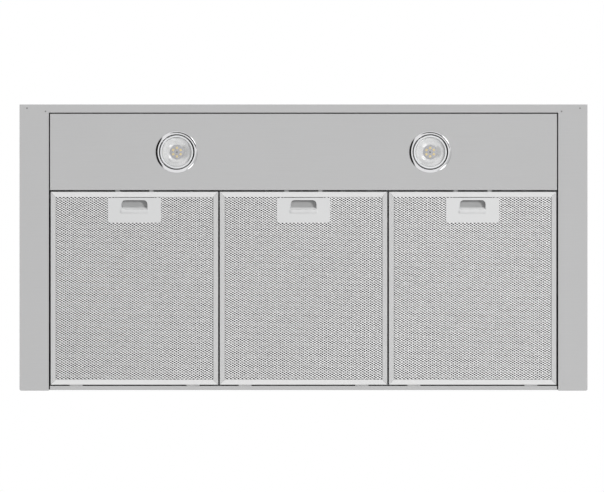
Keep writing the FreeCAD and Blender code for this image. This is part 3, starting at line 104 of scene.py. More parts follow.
class HoodColours(PropertyGroup):
    steel: colour("Shell Steel", "Satin stainless sheet", (0.574, 0.574, 0.576))
    aluminium: colour("Filter Aluminium", "Rolled aluminium of the filter frames",
                      (0.83, 0.83, 0.83))
    net: colour("Filter Net", "Expanded aluminium of the filter nets", (0.98, 0.98, 0.98))
    latch: colour("Latch Grey", "Moulded latch plate", (0.755, 0.758, 0.76))
    galvanised: colour("Galvanised Sheet", "Zinc coated inner and upper sheets",
                       (0.56, 0.575, 0.59))
    chrome: colour("Chrome", "Plated lamp bezel", (0.76, 0.76, 0.77))
    lens: colour("Lens", "Clear lamp lens", (0.93, 0.94, 0.95))
    chip: colour("Light Chip", "Warm phosphor of the light chips", (0.86, 0.66, 0.24))
    board: colour("Control Board", "Solder resist of the control board", (0.03, 0.16, 0.08))


class HoodStage(PropertyGroup):
    pixel: FloatProperty(name="Picture Scale", description="Metres a pixel of the main picture",
                         default=0.001537, precision=6, unit="LENGTH", subtype="DISTANCE")
    lens: FloatProperty(name="Camera Lens", description="Focal length in millimetres",
                        default=170.0, min=20.0)
    daylight: FloatProperty(name="Daylight", description="Level of the soft room light",
                            default=0.38, min=0.0)
    softbox: FloatProperty(name="Softbox Power", description="Power of one softbox",
                           default=100.0, min=0.0, subtype="POWER", unit="POWER")
    floor: colour("Floor", "Pale studio floor", (0.84, 0.84, 0.84))


# ---- Finishes ----

NOISE_SPAN = (0.25, 0.75)  # most of a noise's values lie between these


def rgba(sockets, name):
    """The colour socket of that name, on a node that has one for each kind of data."""
    return next(s for s in sockets if s.name == name and s.type == "RGBA")


class Nodes:
    """The nodes of a material or of the world."""

    def __init__(self, tree):
        self.tree = tree

    def feed(self, socket, value):
        """Link another node's output to a socket, or set the socket to a value."""
        if isinstance(value, bpy.types.NodeSocket):
            self.tree.links.new(value, socket)
        else:
            socket.default_value = value

    def node(self, kind, *inputs, operation=None, **named):
        """A node whose inputs are fed in their order or by name."""
        made = self.tree.nodes.new("ShaderNode" + kind)
        if operation:
            made.operation = operation
        for socket, value in zip(made.inputs, inputs):
            self.feed(socket, value)
        for name, value in named.items():
            self.feed(made.inputs[name.replace("_", " ")], value)
        return made

    def ramp(self, source, low, high, start=0.0, end=1.0, smooth=False):
        """From start at low to end at high, level beyond both."""
        made = self.node("MapRange", Value=source, From_Min=low, From_Max=high,
                         To_Min=start, To_Max=end)
        if smooth:
            made.interpolation_type = "SMOOTHSTEP"
        return made.outputs["Result"]


class Finish(Nodes):
    """A procedural material: tone, roughness and relief from noise in object space."""

    def __init__(self, name, base, roughness, metallic=1.0, **sockets):
        self.material = bpy.data.materials.new(name)
        self.material.use_nodes = True
        super().__init__(self.material.node_tree)
        self.shader = self.tree.nodes["Principled BSDF"]
        self.colour = (*base, 1.0)
        sockets.update(Metallic=metallic, Roughness=roughness, Base_Color=self.colour)
        for socket, value in sockets.items():
            self.shader.inputs[socket.replace("_", " ")].default_value = value
        self.place = self.node("TexCoord").outputs["Object"]

    def stretched(self, scale):
        scales = scale if isinstance(scale, tuple) else (scale,) * 3
        return self.node("Mapping", Vector=self.place, Scale=scales).outputs["Vector"]

    def noise(self, scale, detail=3.0):
        """Noise whose cells measure about 1 / scale metres along each axis."""
        made = self.node("TexNoise", Vector=self.stretched(scale), Scale=1.0, Detail=detail)
        return made.outputs["Fac"]

    def cells(self, scale):
        return self.node("TexVoronoi", Vector=self.stretched(scale), Scale=1.0).outputs

    def height(self, low, high):
        """0 at a height and 1 at another, in metres."""
        split = self.node("SeparateXYZ", Vector=self.place)
        return self.ramp(split.outputs["Z"], low, high)

    def tone(self, factor, darkest, lightest):
        """Multiply the colour by a factor that runs between two levels."""
        level = self.ramp(factor, *NOISE_SPAN, darkest, lightest)
        grey = self.node("CombineColor", level, level, level)
        mix = self.node("Mix", Factor=1.0)
        mix.data_type = "RGBA"
        mix.blend_type = "MULTIPLY"
        self.feed(rgba(mix.inputs, "A"), self.colour)
        self.feed(rgba(mix.inputs, "B"), grey.outputs["Color"])
        self.colour = rgba(mix.outputs, "Result")
        self.feed(self.shader.inputs["Base Color"], self.colour)
        return self

    def gloss(self, factor, low, high):
        """Let the roughness run between two values."""
        self.feed(self.shader.inputs["Roughness"], self.ramp(factor, *NOISE_SPAN, low, high))
        return self

    def relief(self, factor, strength, depth):
        """Raise the surface by a factor, depth in metres."""
        bump = self.node("Bump", Strength=strength, Distance=depth, Height=factor)
        self.feed(self.shader.inputs["Normal"], bump.outputs["Normal"])
        return self


def satin_steel(name, base):
    """Satin stainless sheet with a fine rolled grain along it."""
    finish = Finish(name, base, 0.36)
    streaks = finish.noise((14, 1500, 1500), detail=2.0)
    finish.tone(streaks, 0.975, 1.025).tone(finish.noise(9, detail=2.0), 0.992, 1.008)
    return finish.gloss(streaks, 0.33, 0.39).relief(streaks, 0.05, 0.00004)


def rolled_aluminium(name, base, roughness, grain):
    """Bright rolled aluminium, its grain along the bar."""
    finish = Finish(name, base, roughness)
    streaks = finish.noise(grain, detail=2.0)
    finish.tone(streaks, 0.95, 1.04).gloss(streaks, roughness - 0.05, roughness + 0.05)
    return finish.relief(streaks, 0.08, 0.00004)


def expanded_aluminium(name, base):
    """Slightly uneven strands of expanded aluminium."""
    finish = Finish(name, base, 0.32)
    finish.tone(finish.noise((170, 280, 280), detail=1.0), 0.92, 1.08)
    finish.tone(finish.noise((7, 5, 7), detail=2.0), 0.96, 1.03)
    return finish.relief(finish.noise(900), 0.15, 0.00008)


def pleated_mesh(name, base):
    """Pleats of fine mesh, bright above and painted dark on the side that faces down: painted
    shade for the openings of the net in front of it.
    """
    finish = Finish(name, base, 0.5)
    facing = finish.node("SeparateXYZ", Vector=finish.node("TexCoord").outputs["Normal"])
    # painted shade: faces that point down are darkened to 0.08 of the colour
    finish.tone(finish.ramp(facing.outputs["Z"], -0.2, 0.2), 0.08, 1.0)
    finish.tone(finish.noise(500, detail=1.0), 0.75, 1.1)
    return finish.relief(finish.noise(900, detail=1.0), 0.3, 0.0001)


def galvanised_sheet(name, base):
    """Zinc coat with its spangle of frost-like crystals."""
    finish = Finish(name, base, 0.42)
    crystal = finish.node("SeparateColor", finish.cells(95)["Color"]).outputs
    finish.tone(crystal["Red"], 0.90, 1.06).tone(finish.noise(6), 0.95, 1.03)
    finish.gloss(crystal["Green"], 0.34, 0.50)
    return finish.relief(finish.noise(700), 0.06, 0.00005)


def moulded_plastic(name, base, roughness, grain=1400):
    """Moulded plastic with a fine eroded grain."""
    finish = Finish(name, base, roughness, metallic=0.0)
    finish.tone(finish.noise(12, detail=2.0), 0.985, 1.012)
    return finish.relief(finish.noise(grain, detail=1.0), 0.12, 0.00003)


def soiled_cup(name, base, lip, floor):
    """Moulded plastic with painted shade, darker from the thumb lip to the floor of the finger
    cup, where the cup's walls shade it.
    """
    finish = Finish(name, base, 0.5, metallic=0.0)
    # painted shade: the colour falls to 0.52 of itself from the lip's height to the floor's
    finish.tone(finish.height(lip, floor), 1.0, 0.52)
    finish.tone(finish.noise(90, detail=2.0), 0.96, 1.03)
    return finish.relief(finish.noise(1400, detail=1.0), 0.12, 0.00003)


def cast_metal(name, base, roughness, cell=600, metallic=1.0):
    """Cast, plated or machined metal with a small uneven grain."""
    finish = Finish(name, base, roughness, metallic=metallic)
    pits = finish.noise(cell, detail=2.0)
    finish.tone(pits, 0.95, 1.04).relief(pits, 0.10, 0.00005)
    return finish.gloss(pits, roughness - 0.06, roughness + 0.06)


def polished_chrome(name, base, roughness):
    """Bright plating with faint smears."""
    finish = Finish(name, base, roughness)
    smears = finish.noise(60, detail=2.0)
    return finish.tone(smears, 0.97, 1.02).gloss(smears, roughness * 0.7, roughness * 1.3)


def clear_lens(name, base):
    """Clear lens with a faint frost, so that the board behind it shows."""
    finish = Finish(name, base, 0.10, metallic=0.0, Alpha=0.12, IOR=1.49)
    finish.tone(finish.noise(160, detail=2.0), 0.97, 1.02)
    return finish.relief(finish.noise(420, detail=1.0), 0.08, 0.00005)


def solder_resist(name, base):
    """Green control board with its copper runs showing through."""
    finish = Finish(name, base, 0.36, metallic=0.0, Coat_Weight=0.3)
    runs = finish.cells((160, 420, 160))["Distance"]
    return finish.tone(runs, 0.7, 1.5).relief(runs, 0.15, 0.00005)


# each finish: its maker, its colour (a name in HoodColours or three levels) and the
# maker's own values
FINISHES = {
    "satin_steel": (satin_steel, "steel"),
    "galvanised_sheet": (galvanised_sheet, "galvanised"),
    "frame_cross_bar": (rolled_aluminium, "aluminium", 0.34, (20, 2200, 2200)),
    "frame_side_bar": (rolled_aluminium, "aluminium", 0.38, (2200, 20, 2200)),
    "expanded_aluminium": (expanded_aluminium, "net"),
    "inner_mesh": (pleated_mesh, "net"),
    "moulded_latch": (moulded_plastic, "latch", 0.42),
    # the finger cup and the latch's arms and tongues take painted shade, darker with height
    "soiled_cup": (soiled_cup, "latch"),
    "soiled_arms": (soiled_cup, "latch"),
    "spring_strip": (cast_metal, (0.55, 0.55, 0.56), 0.28, 900),
    "polished_chrome": (polished_chrome, "chrome", 0.065),
    # painted shade: near black for the floor and inner wall of the bezel's groove
    "bezel_groove": (moulded_plastic, (0.02, 0.02, 0.022), 0.6),
    "clear_lens": (clear_lens, "lens"),
    "lens_rim": (moulded_plastic, (0.86, 0.87, 0.88), 0.25),
    "reflector_cup": (cast_metal, (0.80, 0.80, 0.80), 0.16, 300, 0.33),
    "lamp_board_mask": (moulded_plastic, (0.41, 0.41, 0.445), 0.5),
    "light_chip": (moulded_plastic, "chip", 0.35),
    "hub_screw": (cast_metal, (0.16, 0.16, 0.16), 0.35),
    "die_cast_fins": (cast_metal, (0.62, 0.62, 0.63), 0.45),
    "zinc_plate": (cast_metal, (0.62, 0.64, 0.66), 0.26, 500),
    "rivet_steel": (cast_metal, (0.27, 0.27, 0.27), 0.4, 500),
    "ground_steel": (cast_metal, (0.60, 0.60, 0.61), 0.22, 900),
    "motor_enamel": (moulded_plastic, (0.035, 0.035, 0.038), 0.4, 500),
    "white_case": (moulded_plastic, (0.80, 0.80, 0.78), 0.45, 700),
    "solder_resist": (solder_resist, "board"),
}
# finishes that take only a share of their colour; the side bars' share is painted shade, darker
# than the cross bars of the same aluminium for how the light falls along them
SHARES = {"frame_side_bar": 0.82, "inner_mesh": 0.55}


def finish_of(key, *values):
    """The finish of that name, made once; values are for its maker, after those listed."""
    maker, base, *listed = FINISHES[key]
    share = SHARES.get(key, 1.0)
    if isinstance(base, str):
        base = getattr(bpy.context.scene.hood_colours, base)
    return (bpy.data.materials.get(key)
            or maker(key, [level * share for level in base], *listed, *values).material)


# ---- Ways of making a piece ----

def linked_mesh(name, bm, materials):
    mesh = bpy.data.meshes.new(name)
    bm.to_mesh(mesh)
    bm.free()
    for material in materials:
        mesh.materials.append(material)
    made = bpy.data.objects.new(name, mesh)
    bpy.context.scene.collection.objects.link(made)
    return made


def new_piece(name, bm, body, finishes, smooth_angle=32.0, closed=True):
    """Make a mesh, smooth it below an angle and let it ride on a body."""
    if closed:
        bmesh.ops.recalc_face_normals(bm, faces=bm.faces[:])
    piece = linked_mesh(name, bm, [finish_of(key) for key in finishes])
    piece.data.shade_smooth()
    piece.data.set_sharp_from_angle(angle=math.radians(smooth_angle))
    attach(piece, body)
    return piece


def section(points, across=0.0, up=0.0):
    """Points of a section, given in millimetres from a corner, in metres."""
    return [(across + a * MM, up + b * MM) for a, b in points]


def ring_face(bm, first, second, material=0):
    """Faces between two closed loops of as many vertices."""
    for i in range(len(first)):
        j = (i + 1) % len(first)
        face = bm.faces.new((first[i], first[j], second[j], second[i]))
        face.material_index = material


def lathe(bm, profile, centre, segments, materials=None, closed=False):
    """Turn a profile of (radius, height) about an upright axis through centre.

    A material index may be given for each step of the profile."""
    angles = [2 * math.pi * i / segments for i in range(segments)]
    loops = []
    for radius, height in profile:
        if radius < 1e-7:
            loops.append([bm.verts.new((centre[0], centre[1], height))])
            continue
        loops.append([bm.verts.new((centre[0] + radius * math.cos(angle),
                                    centre[1] + radius * math.sin(angle), height))
                      for angle in angles])
    steps = len(loops) if closed else len(loops) - 1
    for k in range(steps):
        low, high = loops[k], loops[(k + 1) % len(loops)]
        index = materials[k] if materials else 0
        if len(low) == 1 or len(high) == 1:
            tip, rim = (low[0], high) if len(low) == 1 else (high[0], low)
            for i in range(segments):
                face = bm.faces.new((tip, rim[i], rim[(i + 1) % segments]))
                face.material_index = index
        else:
            ring_face(bm, low, high, index)


def rounded_outline(low, high, radii, steps=6):
    """Corner points of a rectangle, counter-clockwise from the low corner, each
    rounded by its own radius."""
    corners = [Vector(c) for c in (low, (high[0], low[1]), high, (low[0], high[1]))]
    outline = []
    for i, (corner, radius) in enumerate(zip(corners, radii)):
        if radius <= 0:
            outline.append(corner)
            continue
        back = (corners[i - 1] - corner).normalized()
        ahead = (corners[(i + 1) % 4] - corner).normalized()
        centre = corner + (back + ahead) * radius
        first = math.atan2(*(corner + back * radius - centre).yx)
        last = math.atan2(*(corner + ahead * radius - centre).yx)
        if last < first:
            last += 2 * math.pi
        for k in range(steps + 1):
            angle = first + (last - first) * k / steps
            outline.append(centre + Vector((math.cos(angle), math.sin(angle))) * radius)
    return outline


def plate_with_hole(bm, outline, hole, low, high):
    """A flat plate between two heights with one opening."""
    loops = {}
    for z in (low, high):
        edges = []
        for key, points in (("rim", outline), ("hole", hole)):
            ring = [bm.verts.new((p.x, p.y, z)) for p in points]
            loops[key, z] = ring
            for i, vertex in enumerate(ring):
                edges.append(bm.edges.new((vertex, ring[(i + 1) % len(ring)])))
        bmesh.ops.triangle_fill(bm, use_beauty=True, use_dissolve=True, edges=edges)
    ring_face(bm, loops["rim", low], loops["rim", high])
    ring_face(bm, loops["hole", high], loops["hole", low])


def box_of(bm, low, high, material=0):
    """A block between two corners, as part of a larger piece."""
    verts = bmesh.ops.create_cube(bm, size=1.0)["verts"]
    bmesh.ops.scale(bm, vec=[high[i] - low[i] for i in range(3)], verts=verts)
    bmesh.ops.translate(bm, vec=[(high[i] + low[i]) / 2 for i in range(3)], verts=verts)
    for vertex in verts:
        for face in vertex.link_faces:
            face.material_index = material
    return verts


def extrude_profile(bm, profile, x_low, x_high):
    """A closed profile of (y, z) drawn out along X."""
    low = [bm.verts.new((x_low, y, z)) for y, z in profile]
    high = [bm.verts.new((x_high, y, z)) for y, z in profile]
    ring_face(bm, low, high)
    bm.faces.new(low)
    bm.faces.new(high[::-1])


def soften(piece, width):
    """Round the sharp edges of a piece."""
    bevel = piece.modifiers.new("rounded edges", "BEVEL")
    bevel.width = width
    bevel.segments = 2
    bevel.limit_method = "ANGLE"
    bevel.angle_limit = math.radians(40)
    bevel.harden_normals = True


def flatten_faces(piece):
    """Shade by face area, so that flat faces look flat beside their narrow bends."""
    weighted = piece.modifiers.new("flat faces", "WEIGHTED_NORMAL")
    weighted.keep_sharp = True
    weighted.weight = 90


def dress(key, *nodes, bend=0.0):
    """Give CAD nodes their finish, and round their folds where they are sheet."""
    for node in nodes:
        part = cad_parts[node]
        for slot in part.material_slots:
            slot.material = finish_of(key)
        if bend > 0:
            weld = part.modifiers.new("joined corners", "WELD")
            weld.merge_threshold = 0.01 * MM
            soften(part, bend)


def span(node):
    low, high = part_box(node)
    return Vector(low), Vector(high)


# ---- Operators ----

class HOOD_OT_steel_shell(Operator):
    """Give the shell, rear panel and lamp panel their satin steel and folded edges"""
    bl_idname = "hood.steel_shell"
    bl_label = "Steel Shell"

    def execute(self, context):
        dress("satin_steel", "outer_shell", "lamp_panel", "rear_panel",
              bend=context.scene.hood_sizes.sheet_bend)
        return {"FINISHED"}


class HOOD_OT_inner_sheets(Operator):
    """Give the top panel, chamber walls, lamp wall and motor box their galvanised coat"""
    bl_idname = "hood.inner_sheets"
    bl_label = "Inner and Upper Sheets"

    def execute(self, context):
        dress("galvanised_sheet", "top_panel", "motor_box",
              bend=context.scene.hood_sizes.sheet_bend)
        dress("galvanised_sheet", "left_chamber_wall", "right_chamber_wall", "lamp_wall")
        return {"FINISHED"}


def frame_bar(bm, sizes, low_z, top_z, along_x, near, far, start, end, material):
    """One mitred channel bar of a filter frame.

    near is the outer side of the bar and far the side that it faces; start and end are
    where it meets its neighbours' outer sides."""
    inward = 1.0 if far > near else -1.0
    band, sheet = sizes.frame_band, sizes.frame_sheet
    curl, bend, edge = 0.45 * MM, 0.55 * MM, band - 0.1 * MM
    outline = [
        (edge, low_z + curl), (band - curl, low_z + 0.05 * MM), (band - 2 * curl, low_z),
        (bend, low_z), (bend * 0.35, low_z + bend * 0.35), (0.0, low_z + bend),
        (0.0, top_z - bend), (bend * 0.35, top_z - bend * 0.35), (bend, top_z),
        (band, top_z), (band, top_z - sheet), (sheet, top_z - sheet), (sheet, low_z + sheet),
        (edge, low_z + sheet)]
    loops = []
    for at, sign in ((start, 1.0), (end, -1.0)):
        loop = []
        for depth, z in outline:
            along = at + sign * (depth + sizes.mitre_gap)
            across = near + inward * depth
            point = (along, across, z) if along_x else (across, along, z)
            loop.append(bm.verts.new(point))
        loops.append(loop)
    ring_face(bm, loops[0], loops[1], material)
    bm.faces.new(loops[0][::-1]).material_index = material
    bm.faces.new(loops[1]).material_index = material


def joggled_tab(bm, middle, half, rear, tip, low_z):
    """Rear tab that leaves the frame's back high up and steps down on to the ledge."""
    sheet, top_z, step = 1.0 * MM, low_z + 4.6 * MM, rear + 2.4 * MM
    profile = [(rear - sheet, top_z), (step, top_z), (step, low_z), (tip, low_z),
               (tip, low_z + sheet), (step + sheet, low_z + sheet),
               (step + sheet, top_z + sheet), (rear - sheet, top_z + sheet)]
    extrude_profile(bm, profile, middle - half, middle + half)


class HOOD_OT_filter_frames(Operator):
    """Build the mitred aluminium channel frames of the filters with their rear tabs"""
    bl_idname = "hood.filter_frames"
    bl_label = "Filter Frames"

    def execute(self, context):
        sizes = context.scene.hood_sizes
        tab_offset, tab_half = 90 * MM, 10 * MM
        for name in FILTERS:
            node = name + "_filter_frame"
            low, high = span(node)
            rear = high.y - sizes.tab_length
            bm = bmesh.new()
            # the side bars, material 1, get painted shade: a darker share of the cross bars'
            # aluminium
            for bar in ((True, low.y, rear, low.x, high.x, 0),
                        (True, rear, low.y, low.x, high.x, 0),
                        (False, low.x, high.x, low.y, rear, 1),
                        (False, high.x, low.x, low.y, rear, 1)):
                frame_bar(bm, sizes, low.z, high.z, *bar)
            middle = (low.x + high.x) / 2
            for offset in (-tab_offset, tab_offset):
                joggled_tab(bm, middle + offset, tab_half, rear, high.y, low.z)
            piece = new_piece(name + "_frame_bars", bm, name + "_filter",
                              ("frame_cross_bar", "frame_side_bar"), 60.0)
            flatten_faces(piece)
            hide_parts(node)
        return {"FINISHED"}


def net_cell(bm, pitch_x, pitch_y, sizes):
    """One cell of expanded mesh, its low corner at the origin: a middle opening, four
    quarter openings and the four strands between them, each tilted the same way. The
    openings lean, so that the strands along one diagonal are wider."""
    a, b = pitch_x * sizes.net_opening_x / 2, pitch_y * sizes.net_opening_y / 2
    half_x, half_y = pitch_x / 2, pitch_y / 2
    skew, tilt = sizes.net_skew, sizes.net_tilt
    wall = Vector((0, 0, sizes.net_wall))

    def at(x, y, z):
        return bm.verts.new((half_x + x, half_y + y, z * tilt / 2))

    for sx in (-1, 1):
        for sy in (-1, 1):
            # a strand's front edge stands low and its rear edge high
            side_open = at(sx * a, 0, 0)
            side_bond = at(sx * half_x, 0, 0)
            side_corner = at(sx * half_x - sy * skew, sy * (half_y - b), sy)
            end_corner = at(sx * (half_x - a), sy * half_y, sx * sy * sizes.net_twist / tilt)
            end_bond = at(0, sy * half_y, 0)
            end_open = at(sy * skew, sy * b, -sy)
            turned = sx * sy > 0
            for corners in ((side_open, side_bond, side_corner),
                            (side_open, side_corner, end_corner, end_open),
                            (end_open, end_corner, end_bond)):
                bm.faces.new(corners[::-1] if turned else corners)
            for first, second, inner in ((side_open, end_open, True),
                                         (side_corner, end_corner, False)):
                upper = [bm.verts.new(v.co + wall) for v in (first, second)]
                corners = (first, second, upper[1], upper[0])
                bm.faces.new(corners if turned == inner else corners[::-1])


def net_block(name, body, corner, columns, rows, pitch, sizes):
    """A patch of net: one cell, repeated across on a slight slope and along."""
    bm = bmesh.new()
    net_cell(bm, *pitch, sizes)
    bmesh.ops.translate(bm, vec=corner, verts=bm.verts[:])
    piece = new_piece(name, bm, body, ("expanded_aluminium",), 20.0, closed=False)
    slope = -sizes.net_slant * pitch[0]
    for label, count, step in (("across", columns, (pitch[0], slope, 0)),
                               ("along", rows, (0, pitch[1], 0))):
        array = piece.modifiers.new(label, "ARRAY")
        array.count = count
        array.use_relative_offset = False
        array.use_constant_offset = True
        array.constant_offset_displace = step
    return piece


class HOOD_OT_filter_nets(Operator):
    """Build the fine expanded mesh of each filter, left open behind its latch plate"""
    bl_idname = "hood.filter_nets"
    bl_label = "Filter Nets"

    def execute(self, context):
        sizes = context.scene.hood_sizes
        band, columns = sizes.frame_band, sizes.net_columns
        clearance = 0.25 * MM
        # the latch plate hides this many columns, and this many rows behind the front bar;
        # one row at either end lies out of sight behind the frame's cross bars
        hidden_columns, hidden_rows = 11, 11
        every = sizes.net_rows + 2
        side = (columns - hidden_columns) // 2
        for name in FILTERS:
            low, high = span(name + "_filter_frame")
            cell_x = (high.x - low.x - 2 * band) / columns
            cell_y = (high.y - sizes.tab_length - low.y - 2 * band) / sizes.net_rows
            x, y = low.x + band, low.y + band - cell_y
            z = span(name + "_filter_net")[0].z + clearance
            blocks = (("left", x, y, side, every),
                      ("middle", x + side * cell_x, y + hidden_rows * cell_y,
                       columns - 2 * side, every - hidden_rows),
                      ("right", x + (columns - side) * cell_x, y, side, every))
            for label, at_x, at_y, across, along in blocks:
                at_y -= sizes.net_slant * (at_x - (low.x + high.x) / 2)
                piece = net_block(f"{name}_net_{label}", name + "_filter",
                                  (at_x, at_y, z), across, along, (cell_x, cell_y), sizes)
                if label == "middle":
                    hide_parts(name + "_filter_net")
            dress("inner_mesh", name + "_grease_layer")
        return {"FINISHED"}


def latch_moulding(bm, middle, front, base, top):
    """Plate with its finger hole, and above it the housing round the slide."""
    half, finger, inner = 41 * MM, 20 * MM, 30.6 * MM
    wall, sheet = 1.0 * MM, 0.8 * MM
    plate_front, plate_rear = front + 9.3 * MM, front + 47.8 * MM
    outline = rounded_outline((middle - half, plate_front), (middle + half, plate_rear),
                              (0.8 * MM, 0.8 * MM, 3.5 * MM, 3.5 * MM))
    hole = rounded_outline((middle - finger, front + 12.9 * MM),
                           (middle + finger, front + 32.5 * MM), (6.5 * MM, 6.5 * MM, 0, 0))
    plate_with_hole(bm, outline, hole, base, base + sheet)
    base += sheet
    housing_front, housing_rear = front + 8.3 * MM, front + 41 * MM
    for x in (middle - inner - wall, middle + inner):
        box_of(bm, (x, housing_front, base), (x + wall, housing_rear + wall, top))
    box_of(bm, (middle - inner, housing_rear, base), (middle + inner, housing_rear + wall, top))
    box_of(bm, (middle - inner, housing_front, top - wall), (middle + inner, housing_rear, top))


def finger_cup(bm, middle, front, tongue_tip, plate_z, low_z, top_z, floor):
    """Sliding finger cup with its thumb lip, arms and tongues."""
    lip_front, lip_half = front + 27.3 * MM, 20.3 * MM
    cup_front, cup_rear, cup_half = front + 11.7 * MM, front + 34 * MM, 19.9 * MM
    arm_front, arm_out, arm_low, arm_high = front + 6 * MM, 30 * MM, 3.0 * MM, 4.5 * MM
    tongue_offset, tongue_half = 26 * MM, 3.2 * MM
    lip = [(-0.15, 0.45), (0.15, 0.12), (0.7, 0), (4.7, 0), (5.3, 0.12), (5.6, 0.6), (0.1, 0.6)]
    extrude_profile(bm, section(lip, lip_front, low_z), middle - lip_half, middle + lip_half)
    cup = (section([(0.05, 0.3), (0.45, 0.3)], lip_front, low_z)
           + [(lip_front + 0.45 * MM, arm_low), (cup_rear, arm_low), (cup_rear, arm_high)]
           + section([(-0.6, 0.3), (-2.6, 1.5)], lip_front, arm_high)
           + section([(-5.0, -0.3), (-6.5, 0)], lip_front, top_z)
           + [(cup_front, top_z), (cup_front, floor)]
           + section([(-6.9, 0), (-5.0, -0.6), (-3.0, -1.9), (-1.4, -3.5)], lip_front, floor)
           + section([(-0.5, 1.3)], lip_front, low_z))
    extrude_profile(bm, cup, middle - cup_half, middle + cup_half)
    cheek_front, cheek_low, cheek_top = front + 13.1 * MM, plate_z + 0.9 * MM, top_z - 0.2 * MM
    cheek = [(cheek_front, cheek_low), (lip_front, cheek_low), (lip_front, arm_high),
             (cheek_front + 1.0 * MM, cheek_top), (cheek_front, cheek_top)]
    for sign in (-1, 1):
        sides = sorted(middle + sign * x for x in (cup_half - 0.4 * MM, cup_half))
        extrude_profile(bm, cheek, *sides)
        inner, outer = sorted(middle + sign * x for x in (cup_half, arm_out))
        # arms and tongues take the second finish, painted shade
        box_of(bm, (inner, arm_front, arm_low), (outer, cup_rear, arm_high), 1)
        tongue = middle + sign * tongue_offset
        box_of(bm, (tongue - tongue_half, tongue_tip, arm_low),
               (tongue + tongue_half, arm_front + 0.5 * MM, arm_high), 1)


def leaf_spring(bm, low, high, thickness, steps=32):
    """Bowed strip that leans on the housing's rear wall and pushes the slide forwards."""
    middle, half = (low.x + high.x) / 2, (high.x - low.x) / 2
    loops = []
    for i in range(steps + 1):
        at = 2 * i / steps - 1
        loop = []
        for inset, heights in ((0.0, (low.z, high.z)), (thickness, (high.z, low.z))):
            y = high.y - (high.y - low.y - inset) * (1 - at * at)
            loop += [bm.verts.new((middle + (half - inset) * at, y, z)) for z in heights]
        loops.append(loop)
    for first, second in zip(loops, loops[1:]):
        ring_face(bm, first, second)
    bm.faces.new(loops[0])
    bm.faces.new(loops[-1][::-1])


class HOOD_OT_latches(Operator):
    """Build the moulded latch plates, their sliding finger cups and the leaf springs"""
    bl_idname = "hood.latches"
    bl_label = "Filter Latches"

    def execute(self, context):
        for name in FILTERS:
            front = span(name + "_filter_frame")[0].y
            low, high = span(name + "_latch_plate")
            middle = (low.x + high.x) / 2
            bm = bmesh.new()
            latch_moulding(bm, middle, front, low.z, high.z)
            piece = new_piece(name + "_latch_moulding", bm, name + "_filter", ("moulded_latch",))
            soften(piece, 0.22 * MM)
            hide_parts(name + "_latch_plate")

            slide_low, slide_high = span(name + "_latch_slide")
            floor = slide_high.z - 1.1 * MM
            bm = bmesh.new()
            finger_cup(bm, middle, front, slide_low.y, low.z, slide_low.z, slide_high.z, floor)
            # painted shade, deepest at the cup's floor; the arms and tongues, all above the
            # slide's lowest point, get it at its darkest
            finish_of("soiled_cup", slide_low.z + 1.6 * MM, floor + 0.3 * MM)
            finish_of("soiled_arms", 0.0, slide_low.z)
            piece = new_piece(name + "_finger_cup", bm, name + "_latch",
                              ("soiled_cup", "soiled_arms"))
            soften(piece, 0.12 * MM)
            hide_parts(name + "_latch_slide")

            low, high = span(name + "_latch_spring")
            bm = bmesh.new()
            leaf_spring(bm, low, high, 0.4 * MM)
            piece = new_piece(name + "_leaf_spring", bm, name + "_filter", ("spring_strip",))
            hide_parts(name + "_latch_spring")
            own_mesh(piece)
        return {"FINISHED"}


# section of a bezel, in millimetres from its rim: rolled edge, long slope, flat ring,
# deep groove, inner bead
BEZEL = ((0.0, 1.7), (-0.25, 1.22), (-0.6, 0.98), (-1.3, 0.70), (-2.1, 0.42), (-2.9, 0.18),
         (-3.6, 0.01), (-3.8, 0.0), (-5.0, 0.0), (-5.2, 0.1), (-5.3, 0.5), (-5.4, 3.4),
         (-6.6, 3.4), (-6.65, 1.55), (-6.75, 1.45), (-6.95, 1.55), (-7.0, 9.7), (-4.6, 9.7),
         (-4.6, 1.7))
# the groove's floor and inner wall are painted near black, painted shade in the deep groove
BEZEL_GROOVE = [0] * 11 + [1, 1] + [0] * (len(BEZEL) - 13)
# section of a reflector, from the lamp's axis and the underside of its board
BOWL = ((22.5, -4.2), (22.2, -3.5), (21.5, -3.1), (19.8, -2.8), (17.4, -2.4), (15.4, -1.8),
        (13.2, -0.9), (11.4, -0.1), (11.1, 0.4), (13.6, -0.5), (15.8, -1.4), (19.8, -2.3),
        (22.3, -2.6), (22.6, -4.1))


def lens_section(r, low, high):
    """Domed lens with a shallow groove inside its rim."""
    dome = [(0, 0), (8, 0), (15, 0.03), (20, 0.12), (23, 0.25), (23.6, 0.05)]
    rim = [(-0.3, 0.08), (-0.08, 0.3), (0, 0.8)]
    return (section(dome, 0.0, low) + section(rim, r, low)
            + [(r, high), (22.6 * MM, high), (0.0, high - 0.5 * MM)])


def light_board(bm, centre, low, high, chip, circle):
    """Disc with six light chips in a circle and a screw in its middle."""
    lathe(bm, [(0, low), (10.4 * MM, low), (10.9 * MM, low + 0.3 * MM), (10.9 * MM, high),
               (0, high)], centre, 48)
    side = chip / 2
    for i in range(6):
        angle = math.radians(60 * i - 90)
        spot = centre + Vector((math.cos(angle), math.sin(angle), 0)) * circle
        verts = box_of(bm, (-side, -side, low - 0.55 * MM), (side, side, low + 0.05 * MM), 1)
        bmesh.ops.rotate(bm, verts=verts, matrix=Matrix.Rotation(angle, 3, "Z"))
        bmesh.ops.translate(bm, verts=verts, vec=(spot.x, spot.y, 0))
    screw = [(0, low - 0.5 * MM), (1.3 * MM, low - 0.5 * MM), (1.5 * MM, low)]
    lathe(bm, screw, centre, 20, [2, 2])


